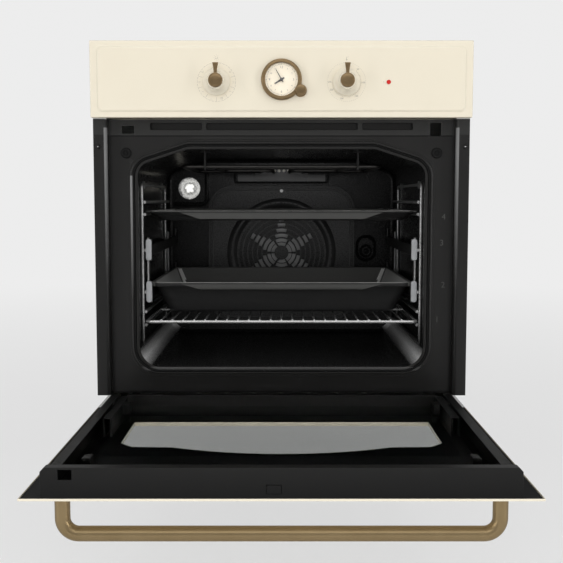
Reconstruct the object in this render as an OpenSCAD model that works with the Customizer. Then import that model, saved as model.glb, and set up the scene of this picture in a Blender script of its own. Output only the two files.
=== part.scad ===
// Built-in single electric oven, door open. Front faces -Y, origin at the middle of the underside.
// Depths named *_d count backwards from the front face of the control panel.

/* [Overall] */
// Width of the control panel and of the door
front_w = 595; // [580:5:640]
// Height from the underside to the top of the control panel
overall_h = 595; // [590:5:640]
// Width of the casing that slides into the niche
body_w = 556; // [548:2:570]
// Depth of the casing behind the front edge of the niche
body_depth = 542; // [530:2:600]
// Distance by which door and control panel stand in front of the niche
front_proud = 22; // [20:1:26]
// Thickness of the sheet steel
sheet_t = 1; // [0.8:0.1:1.5]

/* [Control panel] */
// Height of the control panel
panel_h = 118; // [110:2:130]
// Thickness of the control panel's pressed sheet
panel_t = 1.5; // [1:0.25:2]
// Border beside the raised field, left and right
field_side = 12; // [8:1:16]
// Border above and below the raised field
field_edge = 10; // [8:1:14]
// Corner radius of the raised field
field_r = 8; // [4:1:12]
// Height of the raised field above the border
field_proud = 2.5; // [1.5:0.5:3]
// Distance of each knob from the middle of the panel
knob_x = 100.7; // [90:0.1:110]
// Height of the knob axes above the panel's lower edge
knob_z = 54; // [48:1:60]
// Radius of the knob's skirt at its foot
knob_r = 20.5; // [18:0.5:24]
// Length of the knob from its foot to its cap
knob_len = 29; // [24:1:34]
// Radius of the knob's metal cap
cap_r = 11; // [9:0.5:12]
// Reach of the knob's pointer from the axis
pointer_reach = 26.5; // [23:0.5:29]
// Radius of the knob spindles
spindle_r = 3; // [2.5:0.25:4]
// Radial running clearance of a spindle in its bush
run_gap = 0.05; // [0.03:0.01:0.08]

/* [Clock] */
// Outer radius of the clock's bezel
bezel_r = 31.5; // [29:0.5:34]
// Inner radius of the clock's bezel
bezel_bore_r = 25.5; // [24:0.5:27]
// Height of the bezel in front of the panel
bezel_h = 10; // [8:1:14]
// Height of the clock's axis above the knob axes
clock_rise = 3.5; // [0:0.5:8]
// Radius of the setting knob
crown_r = 8.2; // [7:0.1:9]
// Reach of the setting knob's axis to the side of the clock's axis
crown_dx = 29.5; // [29:0.5:31]
// Drop of the setting knob's axis below the clock's axis
crown_dz = 16.8; // [15:0.1:18]
// Length of the minute hand
minute_len = 18; // [15:0.5:21]
// Length of the hour hand
hour_len = 13; // [10:0.5:14]
// Distance of the pilot lamp from the middle of the panel
pilot_x = 166; // [160:1:180]

/* [Front frame] */
// Clearance between the casing's side and the front frame's recess
recess_gap = 1; // [0:0.5:4]
// Depth of the main plate behind the control panel's face
plate_d = 42; // [41:0.5:46]
// Height of the frame's lower edge above the underside
frame_z = 34; // [32:1:40]
// Radius of the rounded step beside the flanges
step_r = 6; // [4:1:8]
// Drop of the niche screw holes below the control panel
screw_drop = 44; // [30:1:90]
// Distance from the frame's side edge to a niche screw hole
screw_inset = 7.5; // [6:0.5:9]
// Radius of the niche screw holes
screw_r = 3; // [2.25:0.25:3.5]

/* [Cavity] */
// Space between the cavity and the casing at each side
side_space = 47; // [44:1:56]
// Height of the strip between the cavity and the control panel
strip_h = 47; // [44:1:54]
// Height of the cavity floor above the underside
cavity_z = 77; // [74:1:80]
// Depth of the cavity behind the front frame
cavity_depth = 407; // [400:1:420]
// Width of each sloped shoulder of the ceiling
shoulder_w = 81; // [60:1:90]
// Drop of the ceiling's sloped shoulders
shoulder_drop = 26; // [20:1:32]
// Radius where a shoulder meets the side wall
shoulder_r = 24; // [16:1:30]
// Radius of the lower corners
floor_r = 34; // [24:1:40]
// Thickness of the heat insulation
wool_t = 22; // [16:1:23]

/* [Door] */
// Height of the door's lower edge above the underside
door_z = 11.5; // [11:0.5:12.5]
// Gap between the door and the control panel
door_gap = 2; // [1.5:0.5:4]
// Thickness of the door
door_t = 38.5; // [37:0.5:38.5]
// Thickness of the outer panel's sheet
skin_t = 1.2; // [1:0.1:1.5]
// Depth of the outer panel's folded edge
skin_edge = 2.8; // [2.2:0.1:3]
// Depth of the hinge axis behind the panel face
hinge_d = 10; // [9.5:0.25:11]
// Height of the hinge axis above the underside
hinge_z = 22; // [21.5:0.25:23]
// Distance of each hinge from the side of the recess
hinge_inset = 31; // [29:1:33]
// Radius of the hinge pins
pin_r = 3; // [2:0.25:3.5]
// Height of the inner glass's lower edge above the underside
inner_z = 52; // [50:1:56]
// Distance of the inner glass from the side of the recess
inner_inset = 11; // [9:1:16]
// Height of the metal profile along the door's top
profile_h = 14; // [12:1:18]
// Width of the outer panel beside the window
window_inset = 74.5; // [60:0.5:90]
// Height of the window's lower edge above the underside
window_z = 106; // [95:1:120]
// Drop of the window's cut corners below the door's top edge
window_drop = 247; // [230:1:270]
// Rise of the arched window edge
window_rise = 33; // [20:1:36]
// Drop of the handle's axis below the door's top edge
handle_drop = 35; // [28:1:45]
// Distance of the handle's axis in front of the door
handle_reach = 50; // [44:1:60]
// Distance of the handle's posts from the door's side edges
handle_inset = 42.5; // [36:0.5:60]
// Radius of the handle's tube
handle_r = 9; // [8:0.5:11]
// Bend radius of the handle's tube
handle_bend = 19; // [14:1:26]

/* [Inside fittings] */
// Radius of the rack wire
wire_r = 2.5; // [2:0.25:3]
// Height of the wire shelf's rods above the cavity floor
shelf_rise = 72; // [69:0.5:74]
// Height of the lower runners' top above the wire shelf
runner_rise = 57; // [56:0.5:60]
// Height that the cavity needs besides its four level pitches
level_rest = 77; // [70:1:84]
// Height of a runner
runner_h = 16.7; // [14:0.1:17]
// Length of a runner
runner_len = 370; // [350:1:376]
// Height of the shallow tray's rim above the upper runners
tray_rise = 53.3; // [51:0.1:56]
// Depth of the shallow tray
tray_h = 20; // [15:1:24]
// Depth of the deep tray
deep_h = 44; // [35:1:46]
// Thickness of the tray sheet
tray_t = 1; // [0.8:0.1:1.5]
// Radius of the heating rods
rod_r = 3.25; // [2.75:0.25:3.5]
// Radius of the convection fan wheel
fan_r = 72; // [60:1:78]
// Height of the fan axis above the middle of its cover
fan_rise = 2; // [0:0.5:4]
// Radius of the fan shafts
shaft_r = 4; // [3:0.5:5]

/* [Hidden] */
$fn = 64;
seat = 0.3;
face_y = -(body_depth / 2 + front_proud);
body_h = overall_h - 7;
body_back_d = front_proud + body_depth;
body_in = body_w / 2 - sheet_t;
panel_z = overall_h - panel_h;
knob_axis_z = panel_z + knob_z;
clock_z = knob_axis_z + clock_rise;
carrier_d = 26;
plate_back_d = plate_d + sheet_t;
cavity_back_d = plate_back_d + cavity_depth;
cavity_top = panel_z - strip_h;
cavity_h = cavity_top - cavity_z;
wall_x = body_w / 2 - side_space;
ceiling_w = 2 * (wall_x - shoulder_w);
shoulder_a = atan(shoulder_drop / shoulder_w);
recess_w = body_w - 2 * recess_gap;
screw_z = panel_z - screw_drop;
screw_x = front_w / 2 - screw_inset;
door_top = panel_z - door_gap;
hinge_x = recess_w / 2 - hinge_inset;
inner_w = recess_w - 2 * inner_inset;
window_x = front_w / 2 - window_inset;
window_side_h = door_top - window_drop - window_z;
handle_x = front_w / 2 - handle_inset;
shelf_z = cavity_z + shelf_rise;
level_pitch = (cavity_h - level_rest) / 4;
runner_low_z = shelf_z + runner_rise;
runner_high_z = runner_low_z + level_pitch;
tray_z = runner_high_z + tray_rise;
cover_low_z = cavity_z + 25;
cover_high_z = cavity_top - 52;
cover_x = wall_x - 83;
fan_z = (cover_low_z + cover_high_z) / 2 + fan_rise;
glass_t = 4;
middle_d = 15.2;
profile_z = door_top - profile_h;
glass_top = profile_z + 12;
handle_z = door_top - handle_drop;
gasket_t = plate_d - door_t - seat;
rack_x = wall_x - seat - wire_r;
rung_x = rack_x - 2 * wire_r + 0.4;
rung_in = rung_x - wire_r;
rack_front_d = plate_back_d + 21;
rack_len = 302;
rack_back_d = rack_front_d + rack_len;
strip_t = 2.2;
strip_x = rung_in - strip_t + 0.2;
runner_x = strip_x - 6;
runner_skin = 1.2;
runner_d = rack_front_d + 2;
tray_front_d = runner_d;
tray_len = runner_len - 16;
shallow_x = rung_x + 2;
deep_x = strip_x - 1.3;
tray_rim = 8;
cover_d = cavity_back_d - 25;
blower_d = 436;
blower_r = 30;
duct_z = cavity_top + sheet_t + wool_t + 2 + seat;
duct_h = 19;
motor_d = cavity_back_d + sheet_t + seat;
cover_front_d = carrier_d + 4;
boss_x = front_w / 2 - 40;
boss_zs = [panel_z + 22, overall_h - 22];
buffer_at = [wall_x + 18, cavity_top - 6];
sensor_at = [wall_x - 58, fan_z + 5];
pillar_z = cavity_top - 63;
shank_r = 1.5;
screw_hole_r = 1.8;
head_r = 3.2;
head_t = 1.6;
gland_at = [-190, 490];
gland_r = 11;
cable_r = 5;

function at(d) = face_y + d;
function unit(v) = v / norm(v);
function mirrored(pts) = concat(pts, [for (i = [len(pts) - 1:-1:0]) [-pts[i][0], pts[i][1]]]);

// A plate drawn in X and Z whose front face lies d behind the panel face
module slab(d, t) {
  translate([0, at(d) + t, 0]) rotate([90, 0, 0]) linear_extrude(t) children();
}

// A flat outline drawn in depth and Z, extruded along X from x0
module side_slab(x0, t) {
  translate([x0, face_y, 0]) rotate([90, 0, 90]) linear_extrude(t) children();
}

// A flat outline drawn in X and depth, extruded upwards from z0
module floor_slab(z0, t) {
  translate([0, face_y, z0]) linear_extrude(t) children();
}

// A box between two corners given as X, depth and Z
module block(a, b) {
  translate([a[0], at(a[1]), a[2]]) cube([b[0] - a[0], b[1] - a[1], b[2] - a[2]]);
}

// A round bar along the depth from d0 to d1
module stud(x, z, r, d0, d1) {
  translate([x, at(d1), z]) rotate([90, 0, 0]) cylinder(r = r, h = d1 - d0);
}

// A round bar along X from x0 to x1
module axle(x0, x1, d, z, r) {
  translate([x0, at(d), z]) rotate([0, 90, 0]) cylinder(r = r, h = x1 - x0);
}

module both_sides() {
  children();
  mirror([1, 0, 0]) children();
}

module square_between(a, b) {
  translate(a) square(b - a);
}

// A rectangle with true round corners
module round_rect(a, b, r) {
  square_between([a[0] + r, a[1]], [b[0] - r, b[1]]);
  square_between([a[0], a[1] + r], [b[0], b[1] - r]);
  for (x = [a[0] + r, b[0] - r], y = [a[1] + r, b[1] - r]) {
    translate([x, y]) circle(r = r);
  }
}

// A round rod along straight legs in the XY plane, with quarter bends at the inner points
module rod_path(pts, r, bend) {
  n = len(pts);
  for (i = [0:n - 2]) {
    u = unit(pts[i + 1] - pts[i]);
    a = pts[i] + u * (i == 0 ? 0 : bend);
    b = pts[i + 1] - u * (i == n - 2 ? 0 : bend);
    translate([a[0], a[1], 0]) rotate([0, 90, atan2(u[1], u[0])]) cylinder(r = r, h = norm(b - a));
  }
  for (i = [1:n - 2]) {
    u = unit(pts[i] - pts[i - 1]);
    v = unit(pts[i + 1] - pts[i]);
    turn = u[0] * v[1] - u[1] * v[0];
    c = pts[i] + (v - u) * bend;
    start = turn > 0 ? atan2(-v[1], -v[0]) : atan2(u[1], u[0]);
    translate([c[0], c[1], 0]) rotate([0, 0, start])
      rotate_extrude(angle = 90) translate([bend, 0]) circle(r = r, $fn = 24);
  }
}

// Cross-section of the cavity, grown outwards by g
module mouth(g) {
  slope_x = ceiling_w / 2 + g * tan(shoulder_a / 2);
  top = cavity_top + g;
  cx = wall_x - shoulder_r;
  cz = cavity_top - (shoulder_r + (cx - ceiling_w / 2) * sin(shoulder_a)) / cos(shoulder_a);
  rs = shoulder_r + g;
  fx = wall_x - floor_r;
  fz = cavity_z + floor_r;
  polygon(mirrored([
    [fx, cavity_z - g], [wall_x + g, fz], [wall_x + g, cz],
    [cx + rs * sin(shoulder_a), cz + rs * cos(shoulder_a)], [slope_x, top]
  ]));
  for (s = [-1, 1]) {
    translate([s * cx, cz]) circle(r = rs);
    translate([s * fx, fz]) circle(r = floor_r + g);
  }
}

module ring_of_mouth(g0, g1) {
  difference() {
    mouth(g1);
    mouth(g0);
  }
}

module base_plate() {
  front = plate_back_d + 5;
  color("silver") difference() {
    union() {
      block([-body_in, front, 0], [body_in, body_back_d - sheet_t, sheet_t]);
      block([-body_in, front, 0], [body_in, front + sheet_t, 10]);
    }
    for (x = [-150:50:150], d = [203:60:443]) {
      translate([x, at(d), -1]) cylinder(r = 5, h = sheet_t + 2);
    }
  }
}

// Centres of the rear panel's screws
rear_x = body_in - 10;
rear_zs = [30, 300, 560];

// Folded sheet that forms both sides and the top, with return flanges behind
module case_cover() {
  inner_d = body_back_d - sheet_t;
  color("silver") difference() {
    union() {
      both_sides() block([body_in, cover_front_d, 0], [body_w / 2, inner_d, body_h]);
      block([-body_w / 2, cover_front_d, body_h - sheet_t], [body_w / 2, body_back_d, body_h]);
      both_sides() block([rear_x - 10, inner_d - sheet_t, sheet_t + seat], [body_w / 2, inner_d, body_h]);
    }
    for (s = [-1, 1], d = [120:14:260]) {
      block([s * body_w / 2 - 2, d, body_h - 96], [s * body_w / 2 + 2, d + 6, body_h - 46]);
    }
    for (x = [-160:20:160]) {
      block([x - 4, 440, body_h - 3], [x + 4, 500, body_h + 1]);
    }
    for (s = [-1, 1], z = rear_zs) {
      stud(s * rear_x, z, screw_hole_r, inner_d - 3, inner_d + 0.5);
    }
  }
}

module rear_panel() {
  color("silver") difference() {
    block([-body_w / 2, body_back_d - sheet_t, 0], [body_w / 2, body_back_d, body_h - sheet_t]);
    for (x = [-90:15:90]) {
      block([x - 4, body_back_d - 3, 200], [x + 4, body_back_d + 1, 290]);
    }
    for (s = [-1, 1], z = rear_zs) {
      stud(s * rear_x, z, screw_hole_r, body_back_d - 3, body_back_d + 1);
    }
    stud(gland_at[0], gland_at[1], gland_r + seat, body_back_d - 3, body_back_d + 1);
  }
}

// Screws of the rear panel, of the control panel's bosses and of the fan cover
module case_screws() {
  color("silver") {
    for (s = [-1, 1], z = rear_zs) {
      stud(s * rear_x, z, shank_r, body_back_d - 10, body_back_d);
      stud(s * rear_x, z, head_r, body_back_d, body_back_d + head_t);
    }
    for (s = [-1, 1], z = boss_zs) {
      stud(s * boss_x, z, shank_r, 10, carrier_d + sheet_t);
      stud(s * boss_x, z, head_r, carrier_d + sheet_t, carrier_d + sheet_t + head_t);
    }
    stud(0, pillar_z, shank_r, cover_d, cover_d + 12);
    stud(0, pillar_z, head_r, cover_d - head_t, cover_d);
  }
}

// Air outlet slots in the strip above the mouth, as left edge and right edge
outlets = [[-210, -127], [-120.5, 122], [129, 210]];

module frame_profile() {
  x1 = recess_w / 2;
  r0 = step_r - sheet_t;
  square_between([x1 + r0, front_proud], [front_w / 2, front_proud + sheet_t]);
  translate([x1 + r0, front_proud + step_r]) intersection() {
    difference() {
      circle(r = step_r);
      circle(r = r0);
    }
    square_between([-step_r, -step_r], [0, 0]);
  }
  square_between([x1 - sheet_t, front_proud + step_r], [x1, plate_back_d]);
}

module front_frame() {
  z1 = panel_z - seat;
  color([0.13, 0.12, 0.115]) difference() {
    union() {
      both_sides() floor_slab(frame_z, z1 - frame_z) frame_profile();
      block([-recess_w / 2 + sheet_t / 2, plate_d, frame_z],
        [recess_w / 2 - sheet_t / 2, plate_back_d, z1]);
      slab(plate_d - 1.2, 1.5) ring_of_mouth(0, 4.7);
      slab(plate_d - 1.2, 1.5) ring_of_mouth(12.3, 15.5);
    }
    slab(plate_d - 3, 8) mouth(0);
    for (o = outlets) {
      slab(plate_d - 3, 8) round_rect([o[0], panel_z - 16.4], [o[1], panel_z - 5], 2.5);
    }
    slab(plate_d - 3, 8) square_between([-wall_x - 24, panel_z - 22], [-wall_x - 5, panel_z - 10]);
    slab(plate_d - 3, 8) square_between([wall_x + 7, panel_z - 26], [wall_x + 24, panel_z - 5]);
    for (s = [-1, 1]) {
      stud(s * screw_x, screw_z, screw_r, front_proud - 2, front_proud + 3);
      stud(s * buffer_at[0], buffer_at[1], 3.2, plate_d - 2, plate_back_d + 2);
    }
  }
}

// Rounded outline of the convection cover's pressed pan
module cover_outline(g) {
  round_rect([-cover_x - g, cover_low_z - g], [cover_x + g, cover_high_z + g], 50 + g);
}

lamp_at = [43 - wall_x, cavity_top - 58];
grill_z = cavity_top - 25;
grill_front_d = plate_back_d + 69;
leg_x = [16, 44];
ring_r = 99.5;
ring_leg_x = 14;
ring_leg_z = fan_z + sqrt(ring_r * ring_r - ring_leg_x * ring_leg_x);

module cavity() {
  color([0.1, 0.1, 0.1]) difference() {
    union() {
      slab(plate_back_d, cavity_depth) ring_of_mouth(0, sheet_t);
      slab(cavity_back_d, sheet_t) mouth(sheet_t);
      slab(cavity_back_d - 2, 2.5) intersection() {
        mouth(sheet_t / 2);
        difference() {
          round_rect(lamp_at - [42, 36], lamp_at + [36, 40], 14);
          round_rect(lamp_at - [38, 32], lamp_at + [32, 36], 10);
        }
      }
      stud(sensor_at[0], sensor_at[1], 18, cavity_back_d - 6, cavity_back_d + 0.5);
      stud(0, pillar_z, 5, cover_d + sheet_t + seat, cavity_back_d + 0.5);
    }
    stud(sensor_at[0], sensor_at[1], 12, cavity_back_d - 7, cavity_back_d - 3);
    stud(0, pillar_z, shank_r + 0.1, cover_d, cover_d + 16);
    stud(lamp_at[0], lamp_at[1], 18.6, cavity_back_d - 5, cavity_back_d + 3);
    stud(0, fan_z, 12, cavity_back_d - 5, cavity_back_d + 3);
    for (s = [-1, 1]) {
      for (x = leg_x) {
        stud(s * x, grill_z, rod_r + seat, cavity_back_d - 5, cavity_back_d + 3);
      }
      stud(s * ring_leg_x, ring_leg_z, rod_r + seat, cavity_back_d - 5, cavity_back_d + 3);
    }
    for (x = [-60:20:60]) {
      translate([x, at(200), cavity_top - 2]) cylinder(r = 4, h = 6);
    }
  }
}

module insulation() {
  g0 = sheet_t + seat;
  g1 = g0 + wool_t;
  back = 24;
  color([0.85, 0.82, 0.7]) difference() {
    union() {
      slab(plate_back_d + 4, cavity_depth) ring_of_mouth(g0, g1);
      slab(motor_d, back) mouth(g1);
    }
    floor_slab(cavity_z - sheet_t - 9, 9)
      square_between([53 - wall_x, 110], [wall_x - 53, cavity_back_d + 60]);
    stud(lamp_at[0], lamp_at[1], 25, motor_d - 1, motor_d + back + 1);
    stud(0, fan_z, 46, motor_d - 1, motor_d + back + 1);
    slab(motor_d - 1, back + 2) round_rect([-60, grill_z - 12], [60, grill_z + 12], 6);
    slab(motor_d - 1, back + 2) round_rect([-22, ring_leg_z - 7], [22, ring_leg_z + 7], 6);
    translate([-66, at(190), cavity_top]) cube([132, 20, wool_t + 4]);
  }
}

module door_gasket() {
  color([0.08, 0.08, 0.08]) slab(plate_d - gasket_t, gasket_t) ring_of_mouth(5, 12);
}

module door_buffers() {
  color([0.05, 0.05, 0.05]) for (s = [-1, 1]) {
    stud(s * buffer_at[0], buffer_at[1], 8.5, plate_d - gasket_t, plate_d);
    stud(s * buffer_at[0], buffer_at[1], 3, plate_d - 1, plate_back_d + 4);
  }
}

module field(g) {
  round_rect(
    [-front_w / 2 + field_side - g, panel_z + field_edge - g],
    [front_w / 2 - field_side + g, overall_h - field_edge + g], field_r + g);
}

module control_panel() {
  half = front_w / 2;
  color([0.94, 0.91, 0.83]) difference() {
    union() {
      slab(0, panel_t) field(0);
      slab(0, field_proud + panel_t) difference() {
        field(0);
        field(-panel_t);
      }
      slab(field_proud, panel_t) difference() {
        square_between([-half, panel_z], [half, overall_h]);
        field(-panel_t);
      }
      block([-half, field_proud, overall_h - panel_t], [half, front_proud - seat, overall_h]);
      block([-half, field_proud, panel_z], [half, front_proud - seat, panel_z + panel_t]);
      block([-body_in + 3, field_proud, panel_z], [body_in - 3, plate_d - seat, panel_z + panel_t]);
      both_sides() block([half - panel_t, field_proud, panel_z], [half, front_proud - seat, overall_h]);
      for (s = [-1, 1], z = boss_zs) {
        stud(s * boss_x, z, 4, panel_t / 2, carrier_d - seat);
      }
    }
    for (s = [-1, 1]) {
      stud(s * knob_x, knob_axis_z, spindle_r + 2.8, -2, 10);
      for (z = boss_zs) {
        stud(s * boss_x, z, shank_r + 0.1, 8, carrier_d);
      }
    }
    stud(0, clock_z, 21, -2, 10);
    stud(crown_dx, clock_z - crown_dz, 4, -2, 10);
    stud(pilot_x, knob_axis_z, 3.7, -2, 10);
  }
}

module panel_carrier() {
  z0 = panel_z + 3;
  z1 = body_h - sheet_t - seat;
  color("silver") difference() {
    union() {
      block([-body_in, carrier_d, z0], [body_in, carrier_d + sheet_t, z1]);
      both_sides() block([body_in - sheet_t, carrier_d, z0], [body_in, carrier_d + 34, z1]);
    }
    for (s = [-1, 1]) {
      stud(s * knob_x, knob_axis_z, spindle_r + 2.3, carrier_d - 2, carrier_d + 4);
      for (z = boss_zs) {
        stud(s * boss_x, z, screw_hole_r, carrier_d - 2, carrier_d + 4);
      }
    }
    stud(0, clock_z, 20.3, carrier_d - 2, carrier_d + 4);
    stud(pilot_x, knob_axis_z, 2, carrier_d - 2, carrier_d + 4);
  }
}

// Body of a rotary switch behind the carrier, with its bush through the panel
module switch_body(x, size, len) {
  d0 = carrier_d + sheet_t;
  h = size / 2;
  difference() {
    union() {
      slab(d0 + seat, len) round_rect([x - h, knob_axis_z - h], [x + h, knob_axis_z + h], 4);
      stud(x, knob_axis_z, spindle_r + 2, panel_t + 4, d0 + 4);
      for (s = [-12, 12]) {
        slab(d0 + len, 8) square_between([x + s - 3, knob_axis_z - 12], [x + s + 3, knob_axis_z - 11.2]);
      }
    }
    stud(x, knob_axis_z, spindle_r + run_gap, -1, d0 + len - 6);
  }
}

module spindle(x) {
  stud(x, knob_axis_z, spindle_r, -knob_len + 14, carrier_d + 22);
}

// A bell-shaped skirt turned about the knob's axis, with a blind hole for the spindle
module knob(x) {
  foot = 0.6;
  translate([x, at(-foot), knob_axis_z]) rotate([90, 0, 0]) difference() {
    rotate_extrude() difference() {
      square([knob_r, knob_len - 7]);
      translate([knob_r + 14.5, knob_len - 4]) circle(r = 25.5 - 3);
      translate([knob_r - 1, 1.6]) difference() {
        translate([0, -3]) square([4, 3]);
        circle(r = 1);
      }
    }
    translate([0, 0, -1]) cylinder(r = spindle_r + run_gap, h = knob_len - 14 + 1);
  }
}

// The metal cap with its flared, concave-sided pointer
module knob_cap(x) {
  z0 = knob_len - 7;
  translate([x, at(-0.6), knob_axis_z]) rotate([90, 0, 0]) {
    rotate_extrude() {
      translate([0, z0]) square([cap_r - 1, 7]);
      translate([0, z0]) square([cap_r, 6]);
      translate([cap_r - 1, z0 + 6]) circle(r = 1, $fn = 24);
    }
    translate([0, 0, z0 + 2]) linear_extrude(3.4) difference() {
      intersection() {
        square_between([-4.6, 0], [4.6, pointer_reach]);
        circle(r = pointer_reach);
      }
      for (s = [-1, 1]) {
        translate([s * 27.1, cap_r + 2]) circle(r = 24.5);
      }
    }
  }
}

module function_switch() { color([0.9, 0.9, 0.88]) switch_body(-knob_x, 44, 34); }
module function_spindle() { color("gray") spindle(-knob_x); }
module function_knob() { color([0.94, 0.91, 0.83]) knob(-knob_x); }
module function_cap() { color([0.55, 0.45, 0.31]) knob_cap(-knob_x); }
module thermostat() { color([0.9, 0.9, 0.88]) switch_body(knob_x, 38, 42); }
module thermostat_spindle() { color("gray") spindle(knob_x); }
module thermostat_knob() { color([0.94, 0.91, 0.83]) knob(knob_x); }
module thermostat_cap() { color([0.55, 0.45, 0.31]) knob_cap(knob_x); }

dial_d = -3;

module clock_bezel() {
  color([0.55, 0.45, 0.31]) difference() {
    union() {
      translate([0, at(0), clock_z]) rotate([90, 0, 0]) rotate_extrude() {
        square_between([bezel_bore_r, 0], [bezel_r, bezel_h - 3]);
        square_between([bezel_bore_r, 0], [bezel_r - 3, bezel_h]);
        translate([bezel_r - 3, bezel_h - 3]) circle(r = 3);
      }
      difference() {
        stud(crown_dx, clock_z - crown_dz, crown_r + 1.5, -5.5, 0);
        stud(0, clock_z, bezel_bore_r + 1, -6, 1);
      }
    }
    stud(crown_dx, clock_z - crown_dz, 1.5 + run_gap, -7, 2);
    stud(crown_dx, clock_z - crown_dz, crown_r + 0.35, -bezel_h - 1, -5.5);
  }
}

module clock_dial() {
  color([0.93, 0.92, 0.87]) difference() {
    stud(0, clock_z, bezel_bore_r - seat, dial_d, dial_d + 1.5);
    stud(0, clock_z, 2.1, dial_d - 1, dial_d + 3);
  }
}

module clock_glass() {
  color([0.8, 0.85, 0.88, 0.3]) stud(0, clock_z, bezel_bore_r - seat, -bezel_h + 1.4, -bezel_h + 2.6);
}

module clock_movement() {
  color([0.25, 0.25, 0.25]) difference() {
    union() {
      stud(0, clock_z, 20, dial_d + 1.8, 34);
      stud(crown_dx, clock_z - crown_dz, 3.6, panel_t + 2, carrier_d - seat);
      block([8, 12, clock_z - crown_dz - 3], [crown_dx + 2, 20, clock_z - crown_dz + 3]);
    }
    stud(0, clock_z, 2.1, dial_d, 12);
    stud(crown_dx, clock_z - crown_dz, 1.5 + run_gap, 0, 18);
  }
}

// A flat clock hand with a boss, a tail and a tapering blade, turned clockwise by turn
module hand(turn, len, w, d, boss) {
  translate([0, at(d), clock_z]) rotate([90, 0, 0]) linear_extrude(0.6) rotate(-turn) {
    circle(r = boss);
    polygon([
      [-w / 2, 0], [-w * 0.35, len * 0.9], [0, len], [w * 0.35, len * 0.9], [w / 2, 0],
      [w * 0.4, -5], [-w * 0.4, -5]
    ]);
  }
}

module minute_hand() {
  color([0.15, 0.13, 0.12]) {
    hand(330, minute_len, 1.6, -5.4, 2.2);
    stud(0, clock_z, 1, -5.5, 9);
  }
}

module hour_hand() {
  color([0.15, 0.13, 0.12]) difference() {
    union() {
      hand(237.5, hour_len, 2.8, -4.4, 2.8);
      stud(0, clock_z, 2, -4.5, 8);
    }
    stud(0, clock_z, 1 + run_gap, -8, 10);
  }
}

module clock_crown() {
  d1 = -5.8;
  color([0.55, 0.45, 0.31]) translate([crown_dx, at(d1), clock_z - crown_dz]) rotate([90, 0, 0]) {
    rotate_extrude() {
      square([crown_r - 1, 8]);
      square([crown_r, 7]);
      translate([crown_r - 1, 7]) circle(r = 1, $fn = 24);
    }
    translate([0, 0, -23]) cylinder(r = 1.5, h = 24);
  }
}

module pilot_lamp() {
  color([0.8, 0.1, 0.08]) {
    stud(pilot_x, knob_axis_z, 3.4, -1, 12);
    stud(pilot_x, knob_axis_z, 5, panel_t + seat, carrier_d - seat);
  }
}

module lamp_lens() {
  r = 22;
  color([0.9, 0.92, 0.95, 0.6])
    translate([lamp_at[0], at(cavity_back_d - seat), lamp_at[1]]) rotate([90, 0, 0]) difference() {
      union() {
        cylinder(r = r, h = 5);
        translate([0, 0, 3]) cylinder(r1 = r - 2, r2 = r - 9, h = 9);
        translate([0, 0, -10]) cylinder(r = 18, h = 11);
      }
      translate([0, 0, -11]) cylinder(r = 16, h = 14);
      translate([0, 0, 2.9]) cylinder(r1 = 16, r2 = r - 11, h = 7);
    }
}

module lamp_socket() {
  color([0.92, 0.9, 0.85]) difference() {
    union() {
      stud(lamp_at[0], lamp_at[1], 24, motor_d, motor_d + 34);
      stud(lamp_at[0], lamp_at[1], 7, cavity_back_d - 2, motor_d + 30);
    }
    difference() {
      stud(lamp_at[0], lamp_at[1], 18.4, motor_d - 1, motor_d + 24);
      stud(lamp_at[0], lamp_at[1], 7, motor_d - 3, motor_d + 30);
    }
  }
}

module grill_element() {
  back = cavity_back_d + sheet_t + 18;
  mid = cavity_back_d - 52;
  outer = wall_x - 65;
  inner = wall_x - 119;
  color([0.35, 0.35, 0.35]) translate([0, face_y, grill_z]) {
    rod_path([
      [-leg_x[1], back], [-leg_x[1], mid], [-outer, mid], [-outer, grill_front_d],
      [outer, grill_front_d], [outer, mid], [leg_x[1], mid], [leg_x[1], back]
    ], rod_r, 14);
    rod_path([
      [-leg_x[0], back], [-leg_x[0], mid - 40], [-inner, mid - 40], [-inner, grill_front_d + 56],
      [inner, grill_front_d + 56], [inner, mid - 40], [leg_x[0], mid - 40], [leg_x[0], back]
    ], rod_r, 14);
  }
}

module element_brackets() {
  wall = cavity_back_d - seat;
  hanger_x = ceiling_w / 2 - 22;
  d0 = grill_front_d - 8;
  color([0.3, 0.3, 0.3]) difference() {
    union() {
      slab(wall - 1.5, 1.5) square_between([-89, grill_z - 19], [89, grill_z - 5]);
      slab(wall - 4, 4) square_between([-54, grill_z - 17], [54, grill_z + 6]);
      for (x = [-hanger_x, hanger_x]) {
        block([x - 1.5, d0, grill_z - 6], [x + 1.5, d0 + 16, cavity_top - seat]);
        block([x - 8, d0, cavity_top - seat - 1.5], [x + 8, d0 + 16, cavity_top - seat]);
      }
    }
    for (s = [-1, 1], x = leg_x) {
      stud(s * x, grill_z, rod_r + 0.2, wall - 6, wall + 2);
    }
    axle(-hanger_x - 12, hanger_x + 12, grill_front_d, grill_z, rod_r + 0.2);
  }
}

module bottom_element() {
  back = cavity_back_d + 30;
  rear = cavity_back_d - 90;
  x = wall_x - 71;
  color([0.35, 0.35, 0.35]) translate([0, face_y, cavity_z - sheet_t - seat - rod_r]) rod_path([
    [-20, back], [-20, rear], [-x, rear], [-x, 130], [x, 130], [x, rear], [20, rear], [20, back]
  ], rod_r, 16);
}

module ring_element() {
  ring_d = cavity_back_d - 12;
  gap = asin(ring_leg_x / ring_r);
  color([0.35, 0.35, 0.35]) {
    translate([0, at(ring_d), fan_z]) rotate([90, 0, 0]) rotate([0, 0, 90 + gap])
      rotate_extrude(angle = 360 - 2 * gap) translate([ring_r, 0]) circle(r = rod_r, $fn = 24);
    for (s = [-1, 1]) {
      translate([s * ring_leg_x, at(ring_d), ring_leg_z]) sphere(r = rod_r + 0.6);
      stud(s * ring_leg_x, ring_leg_z, rod_r, ring_d, cavity_back_d + 20);
    }
  }
}

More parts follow.
